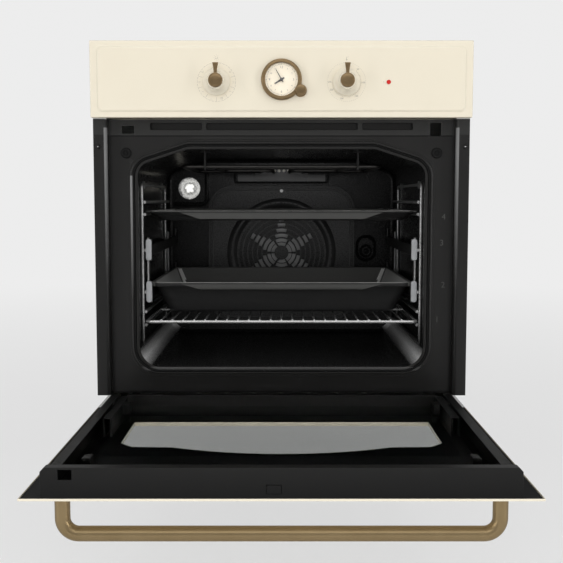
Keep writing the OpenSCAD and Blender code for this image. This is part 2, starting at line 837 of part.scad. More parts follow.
// Slot rows of the grille: mean radius and chord width of each arc in a petal
petal_rows = [[17.5, 15], [25.5, 22], [35, 25], [45.5, 20], [56, 15], [66.5, 11]];

module petal() {
  for (row = petal_rows) {
    half = asin(row[1] / 2 / row[0]);
    far = row[0] * 2;
    intersection() {
      difference() {
        circle(r = row[0] + 3.3);
        circle(r = row[0] - 3.3);
      }
      polygon([[0, 0], [-far * sin(half), far * cos(half)], [far * sin(half), far * cos(half)]]);
    }
  }
}

// Ring pressed into the cover around its grille
module cover_ring(d, r) {
  translate([0, at(d), fan_z]) rotate([90, 0, 0]) rotate_extrude() translate([101, 0]) circle(r = r);
}

module fan_cover() {
  color([0.11, 0.11, 0.11]) difference() {
    union() {
      slab(cover_d, sheet_t) cover_outline(0);
      slab(cover_d, cavity_back_d - seat - cover_d) difference() {
        cover_outline(0);
        cover_outline(-sheet_t);
      }
      slab(cover_d - 2, 2.5) difference() {
        cover_outline(-4);
        cover_outline(-7);
      }
      cover_ring(cover_d, 4.5);
    }
    cover_ring(cover_d + 6, 5);
    for (k = [0:5]) {
      translate([0, at(cover_d + 3), fan_z]) rotate([90, 0, 0]) linear_extrude(6) rotate(k * 60) petal();
    }
    for (s = [-1, 1], z = [150:18:330]) {
      block([s * cover_x - 6, cover_d + 6, z], [s * cover_x + 6, cover_d + 18, z + 8]);
    }
    stud(0, pillar_z, screw_hole_r, cover_d - 2, cover_d + 3);
  }
}

module fan_wheel() {
  d0 = cover_d + 6;
  d1 = cavity_back_d - 5;
  color("darkgray") difference() {
    union() {
      stud(0, fan_z, fan_r, d1 - 1.5, d1);
      stud(0, fan_z, 8, d0, d1);
      for (k = [0:9]) {
        translate([0, at(d1), fan_z]) rotate([90, 0, 0]) rotate([0, 0, k * 36])
          translate([26, -0.6, 0]) cube([fan_r - 28, 1.2, d1 - d0]);
      }
    }
    stud(0, fan_z, shaft_r, d0 + 3, d1 + 1);
  }
}

module fan_shaft() {
  color("gray") stud(0, fan_z, shaft_r, cover_d + 9, motor_d + 50);
}

module fan_motor() {
  color([0.5, 0.5, 0.52]) difference() {
    union() {
      stud(0, fan_z, 42, motor_d, motor_d + 2);
      for (k = [0:3]) {
        translate([0, at(motor_d + 30), fan_z]) rotate([90, 0, 0]) rotate([0, 0, 45 + k * 90])
          translate([30, 0, 0]) cylinder(r = 3, h = 30);
      }
      slab(motor_d + 28, 24) square_between([-34, fan_z - 34], [34, fan_z + 34]);
      stud(0, fan_z, 12, motor_d + 20, motor_d + 60);
      stud(0, fan_z, 9, motor_d, motor_d + 22);
    }
    stud(0, fan_z, shaft_r + run_gap, motor_d - 2, motor_d + 52);
  }
}

duct_back_d = blower_d - blower_r - 8;

module duct_plan(g) {
  polygon(mirrored([[214 + g, plate_back_d + seat - 10 * g], [104 + g, duct_back_d + 10 * g]]));
}

module cooling_duct() {
  color([0.13, 0.12, 0.115]) difference() {
    floor_slab(duct_z, duct_h) duct_plan(0);
    floor_slab(duct_z + sheet_t, duct_h - 2 * sheet_t) duct_plan(-sheet_t);
    block([-212, plate_back_d - 5, duct_z + sheet_t], [212, plate_back_d + 8, duct_z + duct_h - sheet_t]);
    block([-102, duct_back_d - 8, duct_z + sheet_t], [102, duct_back_d + 3, duct_z + duct_h - sheet_t]);
  }
}

blower_z = duct_z + duct_h + blower_r - 6;

module blower_housing() {
  color("silver") difference() {
    union() {
      axle(-104, 104, blower_d, blower_z, blower_r);
      block([-104, duct_back_d + seat, duct_z], [104, blower_d + 4, blower_z]);
    }
    axle(-103, 103, blower_d, blower_z, blower_r - sheet_t);
    block([-103, duct_back_d - 2, duct_z + sheet_t], [103, blower_d - 12, duct_z + duct_h - sheet_t]);
    block([-103, blower_d - 14, duct_z + sheet_t], [103, blower_d + 3, blower_z - 8]);
    block([-92, blower_d - 12, blower_z + 12], [92, blower_d + 24, blower_z + 40]);
    axle(-106, 106, blower_d, blower_z, 3 + run_gap);
  }
}

module blower_wheel() {
  r = blower_r - 6;
  color("darkgray") {
    for (x = [-98, -33, 32, 96.5]) {
      axle(x, x + 1.5, blower_d, blower_z, r);
    }
    for (k = [0:17]) {
      translate([-98, at(blower_d), blower_z]) rotate([k * 20, 0, 0])
        translate([0, r - 6, -0.4]) cube([196, 6, 0.8]);
    }
    axle(-112, 118, blower_d, blower_z, 3);
  }
}

module blower_motor() {
  color([0.5, 0.5, 0.52]) difference() {
    union() {
      block([104.3, blower_d - 28, duct_z], [106.3, blower_d + 28, blower_z + 28]);
      block([112, blower_d - 24, blower_z - 24], [130, blower_d + 24, blower_z + 24]);
      axle(106, 136, blower_d, blower_z, 10);
    }
    axle(100, 120, blower_d, blower_z, 3 + run_gap);
  }
}

// Supply terminals in a closed box, with a cable gland through the rear panel
module terminal_box() {
  wall = 2.5;
  d1 = body_back_d - sheet_t - seat;
  low = [gland_at[0] - 40, d1 - 34, gland_at[1] - 20];
  high = [gland_at[0] + 40, d1, gland_at[1] + 40];
  color([0.9, 0.9, 0.88]) difference() {
    union() {
      block(low, high);
      stud(gland_at[0], gland_at[1], gland_r, d1 - 1, body_back_d + head_t);
    }
    block(low + [wall, wall, wall], high - [wall, wall, wall]);
    stud(gland_at[0], gland_at[1], cable_r, d1 - wall - 1, body_back_d + head_t + 1);
  }
}

// Wire ladder on one side wall, drawn for the right side
module side_rack() {
  z0 = cavity_z + 35;
  z1 = cavity_top - 56;
  mid = (rack_front_d + rack_back_d) / 2;
  low_rung = shelf_z - 2 * wire_r - seat;
  tray_rung = tray_z - seat - wire_r;
  color([0.7, 0.7, 0.7]) {
    translate([rack_x, face_y, 0]) rotate([90, 0, 90]) rod_path([
      [mid, z0], [rack_front_d, z0], [rack_front_d, z1],
      [rack_back_d, z1], [rack_back_d, z0], [mid - 0.1, z0]
    ], wire_r, 8);
    for (z = [low_rung, low_rung + 22, runner_low_z - 8, runner_high_z - 8, tray_rung, tray_rung + 20]) {
      stud(rung_x, z, wire_r, rack_front_d - 1.5, rack_back_d + 28);
    }
    for (d = [rack_front_d + 8, rack_back_d - 22]) {
      block([strip_x, d, runner_low_z - 12], [strip_x + strip_t, d + 12, runner_high_z + 12]);
    }
    block(
      [rack_x - 1, rack_front_d + 1, runner_low_z - 20],
      [rack_x + 1.2, rack_front_d + 13, tray_rung + 22]);
    for (d = [rack_front_d + 30, rack_back_d - 40]) {
      axle(rack_x - 1, wall_x - seat, d, z1, 6);
    }
  }
}

module side_rack_right() { side_rack(); }
module side_rack_left() { mirror([1, 0, 0]) side_rack(); }

// Fixed inner member of a runner, clipped to the carrier strips
module fixed_rail(z1) {
  low = z1 - runner_h + runner_skin + seat;
  high = z1 - runner_skin - seat;
  x0 = runner_x + runner_skin + seat;
  x1 = strip_x - seat;
  front = runner_d + 6;
  back = runner_d + runner_len - 4;
  color("silver") {
    block([x1 - 1.2, front, low], [x1, back, high]);
    block([x0, front, low], [x1, back, low + 2]);
    block([x0, front, high - 2], [x1, back, high]);
  }
}

module runner_rails() {
  both_sides() {
    fixed_rail(runner_low_z);
    fixed_rail(runner_high_z);
  }
}

// Moving outer member of a runner with its front clip and rear stop pin
module moving_rail(z1) {
  x1 = strip_x - seat - 0.8;
  z0 = z1 - runner_h;
  back = runner_d + runner_len;
  color([0.3, 0.3, 0.3]) {
    block([runner_x, runner_d, z0], [runner_x + runner_skin, back, z1]);
    block([runner_x, runner_d, z1 - runner_skin], [x1, back, z1]);
    block([runner_x, runner_d, z0], [x1, back, z0 + runner_skin]);
    translate([runner_x + wire_r, at(back - 5), z1 - 1]) cylinder(r = wire_r, h = 17);
    block([runner_x - 0.8, runner_d - 4, z0 - 8], [rung_in - 0.8, runner_d, z1 + 10]);
  }
}

module upper_runner_right() { moving_rail(runner_high_z); }
module upper_runner_left() { mirror([1, 0, 0]) moving_rail(runner_high_z); }
module lower_runners() { both_sides() moving_rail(runner_low_z); }

// Space inside a tray's sloped walls, grown outwards by g, with its mouth at z + up
module tray_pan(half, d0, d1, z, pan_half, deep, slope, g, up) {
  rim = tray_rim - g;
  foot = pan_half + g;
  hull() {
    floor_slab(z, up) round_rect([-half + rim, d0 + rim], [half - rim, d1 - rim], 12 + g, $fn = 32);
    floor_slab(z - deep - g, 1)
      round_rect([-foot, d0 + slope - g], [foot, d1 - slope + g], 12 + g, $fn = 32);
  }
}

// Tray with a level rim and a pressed pan; z is the height of the rim's underside
module tray(half, z, pan_half, deep, slope) {
  d0 = tray_front_d;
  d1 = tray_front_d + tray_len;
  floor_slab(z, 3) difference() {
    round_rect([-half, d0], [half, d1], 18);
    round_rect([-half + tray_rim, d0 + tray_rim], [half - tray_rim, d1 - tray_rim], 12);
  }
  difference() {
    tray_pan(half, d0, d1, z, pan_half, deep, slope, tray_t, 0.8);
    tray_pan(half, d0, d1, z, pan_half, deep, slope, 0, 1);
  }
}

// Lip that hangs from the middle of a tray's front rim
module tray_lip(z, drop) {
  slab(tray_front_d, tray_t) polygon([[-160, z + 1], [-134, z - drop], [134, z - drop], [160, z + 1]]);
}

module shallow_tray() {
  color([0.2, 0.2, 0.2]) {
    tray(shallow_x, tray_z, shallow_x - 26, tray_h, 28);
    tray_lip(tray_z, 12);
  }
}

module deep_tray() {
  color([0.2, 0.2, 0.2]) {
    tray(deep_x, runner_low_z + seat, deep_x - 36, deep_h, 34);
    tray_lip(runner_low_z + seat, 5);
  }
}

module wire_shelf() {
  half = rung_x + 2 - wire_r;
  d0 = rack_front_d - 2;
  d1 = rack_back_d + 48;
  guard = 8.5;
  pitch = 18;
  count = floor((half - 8) / pitch);
  color([0.75, 0.75, 0.75]) {
    translate([0, face_y, shelf_z]) rod_path([
      [0, d0], [-half, d0], [-half, d1], [half, d1], [half, d0], [-0.1, d0]
    ], wire_r, 8);
    for (k = [-count:count]) {
      stud(k * pitch, shelf_z + wire_r, 1.5, d0 - 1, d1 + 1);
    }
    axle(-half, half, (d0 + d1) / 2, shelf_z, wire_r);
    axle(-half + 12, half - 12, d1, shelf_z + guard, wire_r);
    both_sides() translate([half - 12, at(d1), shelf_z]) cylinder(r = wire_r, h = guard + wire_r);
  }
}

// Pieces of the door are drawn shut, then laid open about the hinge axis
module opened() {
  translate([0, at(hinge_d), hinge_z]) rotate([90, 0, 0]) translate([0, -at(hinge_d), -hinge_z]) children();
}

// Outline of the window: straight foot and sides, cut upper corners and an arched top
module window_outline(g) {
  side_top = window_z + window_side_h;
  cut = [window_x - 18, side_top + 20];
  spring = window_x - 74;
  arc_r = (spring * spring + window_rise * window_rise) / 2 / window_rise;
  polygon(mirrored([
    [window_x + g, window_z - g], [window_x + g, side_top + g * 0.5], [cut[0] + g * 0.5, cut[1] + g],
    [spring, cut[1] + 2 + g]
  ]));
  intersection() {
    translate([0, cut[1] + 2 + window_rise - arc_r]) circle(r = arc_r + g, $fn = 180);
    square_between([-spring, side_top], [spring, side_top + 100]);
  }
}

module door_panel() {
  half = front_w / 2;
  color([0.94, 0.91, 0.83]) opened() difference() {
    union() {
      slab(0, skin_t) square_between([-half, door_z], [half, door_top]);
      slab(0, skin_edge) difference() {
        square_between([-half, door_z], [half, door_top]);
        square_between([-half + skin_t, door_z + skin_t], [half - skin_t, door_top - skin_t]);
      }
    }
    slab(-1, skin_t + 2) window_outline(0);
    for (s = [-1, 1]) {
      stud(s * handle_x, handle_z, 2.8, -1, 4);
    }
  }
}

eye_r = 6.4;
tongue_t = 6;
cheek_t = 3;
arm_in = hinge_x - tongue_t / 2 - seat - cheek_t;
arm_out = hinge_x + tongue_t / 2 + seat + cheek_t;
clip_x = window_x + 8;

module door_frame() {
  half = inner_w / 2;
  top_half = half + 6;
  d0 = skin_t + seat;
  d1 = door_t - glass_t - seat;
  color([0.16, 0.155, 0.15]) opened() {
    difference() {
      block([-top_half, skin_edge + seat, profile_z], [top_half, door_t, door_top - seat]);
      block([-top_half + 1.5, d0, profile_z - 1], [top_half - 1.5, d1 - 1.2, door_top - seat - 1.5]);
      block([-half - seat, d1 - 2, profile_z - 1], [half + seat, door_t - 1.2, glass_top + seat]);
      for (s = [-1, 1]) {
        translate([s * top_half, at(door_t), door_top]) rotate([0, 0, 45]) cube([7, 7, 80], center = true);
      }
      block([-251.6, door_t - 14, door_top - 5], [-236, door_t - 2.5, door_top + 1]);
      block([-17, door_t - 30, door_top - 0.9], [0, door_t - 20, door_top + 1]);
    }
    both_sides() difference() {
      block([arm_out + seat, d0, inner_z], [half, d1, profile_z - seat]);
      block([arm_out - 1, d0 + 1.2, inner_z - 1], [half - 1.2, d1 - 1.2, profile_z + 1]);
      stud(handle_x, handle_z, 6, d0 - 1, d0 + 3);
    }
    difference() {
      block([-arm_in + seat, d0, inner_z], [arm_in - seat, d1, inner_z + 16]);
      block([-arm_in, d0 + 1.2, inner_z - 1], [arm_in, d1 - 1.2, inner_z + 14.8]);
    }
    for (s = [-1, 1], z = [inner_z + 60, profile_z - 60]) {
      block([s * clip_x - 5, middle_d + glass_t + seat, z], [s * clip_x + 5, d1, z + 20]);
      block([s * clip_x - 5, skin_t + glass_t + 2 * seat, z], [s * clip_x + 5, middle_d - seat, z + 20]);
    }
  }
}

module door_window() {
  lap = 12;
  top = window_z + window_side_h + 22 + window_rise + lap;
  color([0.3, 0.3, 0.3, 0.4]) opened() slab(skin_t + seat, glass_t)
    square_between([-window_x - lap, window_z - lap], [window_x + lap, top]);
}

module door_middle_glass() {
  color([0.3, 0.3, 0.3, 0.4]) opened() slab(middle_d, glass_t)
    round_rect([-clip_x - 5, inner_z + 24], [clip_x + 5, profile_z - 20], 4);
}

module door_inner_glass() {
  half = inner_w / 2;
  color([0.1, 0.1, 0.1, 0.6]) opened() difference() {
    slab(door_t - glass_t, glass_t) square_between([-half, inner_z], [half, glass_top]);
    slab(door_t - 1.2, 2) square_between([-half - 1, profile_z - seat], [half + 1, glass_top + 1]);
  }
}

module door_hinge_arms() {
  d1 = door_t - glass_t - 4;
  color("silver") opened() both_sides() difference() {
    union() {
      for (x = [arm_in, arm_out - cheek_t]) {
        axle(x, x + cheek_t, hinge_d, hinge_z, eye_r);
        block([x, hinge_d - eye_r, hinge_z], [x + cheek_t, hinge_d + eye_r, inner_z + 40]);
        block([x, hinge_d - eye_r, inner_z + 4], [x + cheek_t, d1, inner_z + 150]);
      }
      block([arm_in, d1 - 2, inner_z + 4], [arm_out, d1, inner_z + 150]);
    }
    axle(arm_in - 1, arm_out + 1, hinge_d, hinge_z, pin_r + run_gap);
  }
}

module hinge_brackets() {
  foot_d = 52;
  color("silver") both_sides() {
    axle(hinge_x - tongue_t / 2, hinge_x + tongue_t / 2, hinge_d, hinge_z, eye_r - 0.4);
    block([hinge_x - tongue_t / 2, hinge_d, hinge_z - 5],
      [hinge_x + tongue_t / 2, foot_d + 30, hinge_z + 5]);
    block([hinge_x - tongue_t / 2, foot_d, sheet_t], [hinge_x + tongue_t / 2, foot_d + 60, hinge_z + 5]);
    block([hinge_x - 16, foot_d, sheet_t], [hinge_x + 16, foot_d + 60, sheet_t + 2]);
    axle(hinge_x - tongue_t / 2 - 4, hinge_x + tongue_t / 2 + 4, hinge_d, hinge_z, pin_r);
  }
}

module door_handle() {
  color([0.55, 0.45, 0.31]) opened() translate([0, face_y, handle_z]) difference() {
    rod_path([
      [-handle_x, 0], [-handle_x, -handle_reach], [handle_x, -handle_reach], [handle_x, 0]
    ], handle_r, handle_bend);
    for (s = [-1, 1]) {
      translate([s * handle_x, 1, 0]) rotate([90, 0, 0]) cylinder(r = 2.6, h = 22);
    }
  }
}

module handle_screws() {
  color("silver") {
    opened() both_sides() {
      stud(handle_x, handle_z, 2.5, -18, 2);
      stud(handle_x, handle_z, 4.5, skin_t, skin_t + head_t);
    }
  }
}

base_plate();
case_cover();
rear_panel();
case_screws();
front_frame();
cavity();
insulation();
door_gasket();
door_buffers();
control_panel();
panel_carrier();
function_switch();
function_spindle();
function_knob();
function_cap();
thermostat();
thermostat_spindle();
thermostat_knob();
thermostat_cap();
clock_bezel();
clock_dial();
clock_glass();
clock_movement();
minute_hand();
hour_hand();
clock_crown();
pilot_lamp();
lamp_lens();
lamp_socket();
grill_element();
element_brackets();
bottom_element();
ring_element();
fan_cover();
fan_wheel();
fan_shaft();
fan_motor();
cooling_duct();
blower_housing();
blower_wheel();
blower_motor();
terminal_box();
side_rack_left();
side_rack_right();
runner_rails();
upper_runner_left();
upper_runner_right();
lower_runners();
deep_tray();
shallow_tray();
wire_shelf();
door_panel();
door_frame();
door_window();
door_middle_glass();
door_inner_glass();
door_hinge_arms();
hinge_brackets();
door_handle();
handle_screws();
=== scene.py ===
import math
from functools import partialmethod

import bmesh
import bpy
import numpy as np
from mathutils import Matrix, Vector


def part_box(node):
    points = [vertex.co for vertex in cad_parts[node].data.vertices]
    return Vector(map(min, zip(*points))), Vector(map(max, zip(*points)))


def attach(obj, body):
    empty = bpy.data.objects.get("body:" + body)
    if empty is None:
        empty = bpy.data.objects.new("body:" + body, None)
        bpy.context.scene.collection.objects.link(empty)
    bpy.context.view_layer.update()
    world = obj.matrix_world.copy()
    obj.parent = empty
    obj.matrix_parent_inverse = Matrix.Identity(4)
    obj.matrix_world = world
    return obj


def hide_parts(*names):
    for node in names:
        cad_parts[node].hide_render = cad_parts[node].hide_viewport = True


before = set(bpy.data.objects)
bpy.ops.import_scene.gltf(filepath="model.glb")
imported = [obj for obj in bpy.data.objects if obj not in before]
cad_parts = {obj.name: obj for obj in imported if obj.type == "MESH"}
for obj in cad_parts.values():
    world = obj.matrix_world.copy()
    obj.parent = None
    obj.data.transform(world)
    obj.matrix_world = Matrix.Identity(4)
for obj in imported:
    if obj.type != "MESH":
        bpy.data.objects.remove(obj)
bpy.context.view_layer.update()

# ----------------------------------------------
# Camera: stands in front of the open door, a little above the middle of the oven, and looks
# slightly down, with the long lens of a catalogue picture.
PITCH, FOCAL_PIXELS, PICTURE_PIXELS = 5.075, 935, 563


def placed(name, data):
    """A new object in the scene, with its mesh, lamp or camera."""
    made = bpy.data.objects.new(name, data)
    bpy.context.collection.objects.link(made)
    return made


camera = placed("camera", bpy.data.cameras.new("camera"))
camera.location = (0.0, -1.762, 0.3515)
camera.rotation_euler = (math.radians(90 - PITCH), 0.0, 0.0)
camera.data.sensor_width = 36.0
camera.data.lens = 36.0 * FOCAL_PIXELS / PICTURE_PIXELS
camera.data.clip_start = 0.05
camera.data.clip_end = 60.0
bpy.context.scene.camera = camera
bpy.context.scene.view_settings.view_transform = "Standard"

# ----------------------------------------------
# Floor: one wide pale sheet below the open door's handle. What the camera sees of it glows
# towards white, more with the distance, so that it meets the backdrop, and keeps the soft shadow.
FLOOR_Z, FLOOR_REACH = -0.30, 9
NEAR, FAR = 1.0, 5.5


def fill(node, inputs):
    """Gives each input of a node, by its name or place, a plain value, a Field or another node's
    output."""
    for key, value in dict(inputs).items():
        value = getattr(value, "socket", value)
        if isinstance(value, bpy.types.NodeSocket):
            node.id_data.links.new(value, node.inputs[key])
        else:
            node.inputs[key].default_value = value
    return node


def add_node(tree, kind, inputs=(), **settings):
    """A new shader node with its settings and inputs."""
    made = tree.nodes.new("ShaderNode" + kind)
    for key, value in settings.items():
        setattr(made, key, value)
    return fill(made, inputs)


floor_mesh = bpy.data.meshes.new("floor")
floor_corners = [(x * FLOOR_REACH, y * FLOOR_REACH, FLOOR_Z) for x, y in ((-1, -1), (1, -1), (1, 1), (-1, 1))]
floor_mesh.from_pydata(floor_corners, [], [(0, 1, 2, 3)])
floor = placed("floor", floor_mesh)
floor_paint = bpy.data.materials.new("floor_paint")
floor_paint.use_nodes = True
paint = floor_paint.node_tree
sheet = fill(paint.nodes["Principled BSDF"], {"Base Color": (0.9, 0.9, 0.9, 1), "Roughness": 0.9})
distance = add_node(paint, "VectorMath", {0: add_node(paint, "TexCoord").outputs["Object"]}, operation="LENGTH")
span = {"Value": distance.outputs["Value"], "From Min": NEAR, "From Max": FAR}
far_share = add_node(paint, "MapRange", {**span, "To Min": 0.5, "To Max": 1.0}).outputs["Result"]
far_level = add_node(paint, "MapRange", {**span, "To Min": 0.99, "To Max": 0.845}).outputs["Result"]
seen = add_node(paint, "LightPath").outputs["Is Camera Ray"]
glow_share = add_node(paint, "Math", {0: seen, 1: far_share}, operation="MULTIPLY")
glow = add_node(paint, "Emission", {"Color": far_level})
floor_look = add_node(paint, "MixShader", {0: glow_share.outputs[0], 1: sheet.outputs[0], 2: glow.outputs[0]})
fill(paint.nodes["Material Output"], {"Surface": floor_look.outputs[0]})
floor_mesh.materials.append(floor_paint)

# ----------------------------------------------
# Studio: a plain bright room, seen pale by the camera and through glass, with large soft lamps
# in front, above and at both sides, a low fill lamp, and a faint one under the muffle's ceiling.
world = bpy.data.worlds.new("studio")
bpy.context.scene.world = world
world.use_nodes = True
air = world.node_tree
path = add_node(air, "LightPath").outputs
seen = add_node(air, "Math", {0: path["Is Camera Ray"], 1: path["Is Transmission Ray"]}, operation="MAXIMUM")
level = add_node(air, "MapRange", {"Value": seen.outputs[0], "To Min": 0.42, "To Max": 0.845})
fill(air.nodes["Background"], {"Color": (1.0, 1.0, 1.0, 1), "Strength": level.outputs["Result"]})


def soft_lamp(name, place, width, height, power, aim=(0, -0.3, 0.3)):
    """A rectangular area lamp at place whose face looks at aim, or else at the oven's middle."""
    lamp = placed(name, bpy.data.lights.new(name, "AREA"))
    lamp.data.shape = "RECTANGLE"
    lamp.data.size = width
    lamp.data.size_y = height
    lamp.data.energy = power
    lamp.location = place
    way = Vector(aim) - Vector(place)
    lamp.rotation_euler = way.to_track_quat("-Z", "Y").to_euler()
    return lamp


soft_lamp("front_lamp", (0.0, -3.2, 2.1), 2.8, 0.9, 12.5)
soft_lamp("top_lamp", (0.0, -1.0, 3.0), 1.6, 1.6, 9)
soft_lamp("left_lamp", (-2.2, -1.9, 0.5), 0.25, 2.2, 13)
soft_lamp("right_lamp", (2.2, -1.9, 0.5), 0.25, 2.2, 13)
soft_lamp("fill_lamp", (0.0, -3.2, 0.35), 2.4, 0.9, 23).visible_glossy = False
soft_lamp("muffle_lamp", (0.0, -0.155, 0.424), 0.26, 0.03, 0.085, (0, 0.16, 0.27))

# ----------------------------------------------
# Casing: base plate, folded cover and rear panel of galvanised sheet, held by small screws, with
# a mineral wool blanket inside. The zinc shows its crystal spangle, and air slots are punched.
def rgba(colour):
    """A colour with full cover, from its three numbers, or from one number for a grey."""
    return (*np.broadcast_to(colour, 3).tolist(), 1.0)


def new_material(name, colour, roughness, metallic=0.0, **sockets):
    """A Principled material whose plain numbers stand on the shader's own sockets."""
    made = bpy.data.materials.new(name)
    made.use_nodes = True
    plain = {"Base_Color": rgba(colour), "Roughness": roughness, "Metallic": metallic, **sockets}
    fill(made.node_tree.nodes["Principled BSDF"], {key.replace("_", " "): value for key, value in plain.items()})
    return made


class Field:
    """A number that changes over a surface, as the output of a node. Arithmetic on it, with plain
    numbers or with other fields, adds the number nodes that work it out."""

    def __init__(self, socket):
        self.socket = socket

    def worked(self, operation, *values, **settings):
        """The result of one number operation on this field and the other values."""
        numbers = enumerate((self, *values))
        return Field(add_node(self.socket.id_data, "Math", numbers, operation=operation, **settings).outputs[0])

    __add__ = partialmethod(worked, "ADD")
    __sub__ = partialmethod(worked, "SUBTRACT")
    __mul__ = partialmethod(worked, "MULTIPLY")
    __pow__ = partialmethod(worked, "POWER")
    __abs__ = partialmethod(worked, "ABSOLUTE")
    __lt__ = partialmethod(worked, "LESS_THAN")
    __gt__ = partialmethod(worked, "GREATER_THAN")

    def between(self, low, high):
        """1 between two values and 0 outside them."""
        return (self > low) * (self < high)

    def ramp(self, start, end, at_start=0.0, at_end=1.0):
        """Runs straight from one level to another between two values, and stays level outside."""
        ends = {"Value": self, "From Min": start, "From Max": end, "To Min": at_start, "To Max": at_end}
        return Field(add_node(self.socket.id_data, "MapRange", ends).outputs["Result"])


# Cloudy: slow noise in object space, as a mask round 0.5, and a fine waviness of the surface.
cloudy = bpy.data.node_groups.new("cloudy", "ShaderNodeTree")
for label in ("Scale", "Contrast", "Ripple Scale", "Ripple Depth"):
    cloudy.interface.new_socket(label, in_out="INPUT", socket_type="NodeSocketFloat")
for label, kind in (("Mask", "NodeSocketFloat"), ("Normal", "NodeSocketVector")):
    cloudy.interface.new_socket(label, in_out="OUTPUT", socket_type=kind)
given = cloudy.nodes.new("NodeGroupInput").outputs
spot = add_node(cloudy, "TexCoord").outputs["Object"]
clouds = add_node(cloudy, "TexNoise", {"Vector": spot, "Scale": given["Scale"], "Detail": 5.0}).outputs["Fac"]
ripples = add_node(cloudy, "TexNoise", {"Vector": spot, "Scale": given["Ripple Scale"], "Detail": 2.0})
ripple_bump = add_node(cloudy, "Bump", {"Height": ripples.outputs["Fac"], "Distance": given["Ripple Depth"]})
mask = ((Field(clouds) - 0.5) * given["Contrast"]).worked("ADD", 0.5, use_clamp=True)
fill(cloudy.nodes.new("NodeGroupOutput"), {"Mask": mask, "Normal": ripple_bump.outputs["Normal"]})


def clouded(name, dark, light, roughness, metallic=0.0, scale=20, contrast=1, ripple=(300, 2e-5), **sockets):
    """A material with the cloudy effect: its colour runs from dark to light over the mask, its
    roughness too where it is a pair, and its surface ripples at a scale, by a depth in metres."""
    made = new_material(name, light, np.max(roughness), metallic, **sockets)
    tree, shader = made.node_tree, made.node_tree.nodes["Principled BSDF"]
    effect = add_node(tree, "Group", {
        "Scale": scale, "Contrast": contrast, "Ripple Scale": ripple[0], "Ripple Depth": ripple[1]},
        node_tree=cloudy).outputs
    colours = add_node(
        tree, "Mix", {"A": rgba(dark), "B": rgba(light), "Factor": effect["Mask"]}, data_type="RGBA")
    fill(shader, {"Base Color": colours.outputs["Result"], "Normal": effect["Normal"]})
    if np.ndim(roughness):
        fill(shader, {"Roughness": Field(effect["Mask"]).ramp(0.0, 1.0, *roughness)})
    return made


def dress(made, *names):
    """Puts a material into the slots of CAD nodes."""
    for name in names:
        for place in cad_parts[name].material_slots:
            place.material = made


zinc = clouded("zinc_sheet", (0.42, 0.43, 0.44), (0.68, 0.69, 0.7), (0.3, 0.52), 1.0, 60, 1.6, (900, 1e-5))
dress(zinc, "base_plate", "case_cover", "rear_panel", "panel_carrier")
screw_steel = clouded("screw_steel", 0.4, 0.62, (0.22, 0.4), 1.0, 400, 1.2, (3000, 5e-6))
dress(screw_steel, "case_screws")
dress(clouded("mineral_wool", (0.55, 0.5, 0.33), (0.75, 0.7, 0.5), 0.95, 0.0, 300, 2), "insulation")

# ----------------------------------------------
# Inner works: switches and their spindles, the clock's movement, the terminal box, both fans, the
# heating rods and the lamp's ceramic socket. They hang on the casing, behind the panel and muffle.
white_plastic = clouded("white_plastic", (0.74, 0.74, 0.7), (0.8, 0.8, 0.77), 0.5, scale=80)
dress(white_plastic, "function_switch", "thermostat", "terminal_box")
dress(clouded("dark_plastic", 0.04, 0.06, 0.5, scale=80), "clock_movement")
dress(screw_steel, "function_spindle", "thermostat_spindle", "fan_shaft")
dress(zinc, "blower_housing")
dress(clouded("motor_paint", (0.27, 0.27, 0.28), (0.33, 0.33, 0.34), 0.4), "fan_motor", "blower_motor")
dress(clouded("wheel_alloy", 0.45, 0.6, 0.4, 1.0), "fan_wheel", "blower_wheel")
rod_steel = clouded(
    "rod_steel", (0.07, 0.068, 0.065), (0.13, 0.125, 0.12), (0.4, 0.6), 1.0, 200, 1, (900, 5e-6))
dress(rod_steel, "grill_element", "bottom_element", "ring_element")
steatite = clouded("steatite", (0.8, 0.77, 0.7), (0.86, 0.83, 0.76), 0.7)
dress(steatite, "lamp_socket")

# ----------------------------------------------
# Control panel: one pressed steel sheet in glossy ivory enamel. Its middle field stands 2.5 mm
# proud with a soft pressed step all round, and its edges are folded back to the niche.
def piece(name, points, finish, slot_name, stands_for=None, body="oven", sharp=40, faces=None, **closing):
    """Turns a grid of points, or points with a list of faces, into a piece of the oven. Points
    that coincide, as at a pole, are merged."""
    mesh = bpy.data.meshes.new(name)
    mesh.from_pydata(np.reshape(points, (-1, 3)).tolist(), [], faces or net(points, **closing))
    joined = merged(mesh, 1e-7)
    bmesh.ops.recalc_face_normals(joined, faces=joined.faces)
    joined.to_mesh(mesh)
    joined.free()
    return finished(name, mesh, finish, stands_for, body, sharp)


def merged(mesh, gap):
    """A mesh for editing, with its points merged within a gap and its empty edges dissolved."""
    joined = bmesh.new()
    joined.from_mesh(mesh)
    bmesh.ops.remove_doubles(joined, verts=joined.verts, dist=gap)
    bmesh.ops.dissolve_degenerate(joined, edges=joined.edges, dist=gap / 10)
    return joined


def finished(name, mesh, finish, stands_for=None, body="oven", sharp=40):
    """Makes a mesh a piece with its material and body, hiding the CAD node it stands for, shaded
    smooth but for edges sharper than the given angle."""
    mesh.polygons.foreach_set("use_smooth", [True] * len(mesh.polygons))
    mesh.set_sharp_from_angle(angle=math.radians(sharp))
    mesh.materials.clear()
    mesh.materials.append(finish)
    made = placed(name, mesh)
    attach(made, body)
    if stands_for:
        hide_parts(stands_for)
    return made


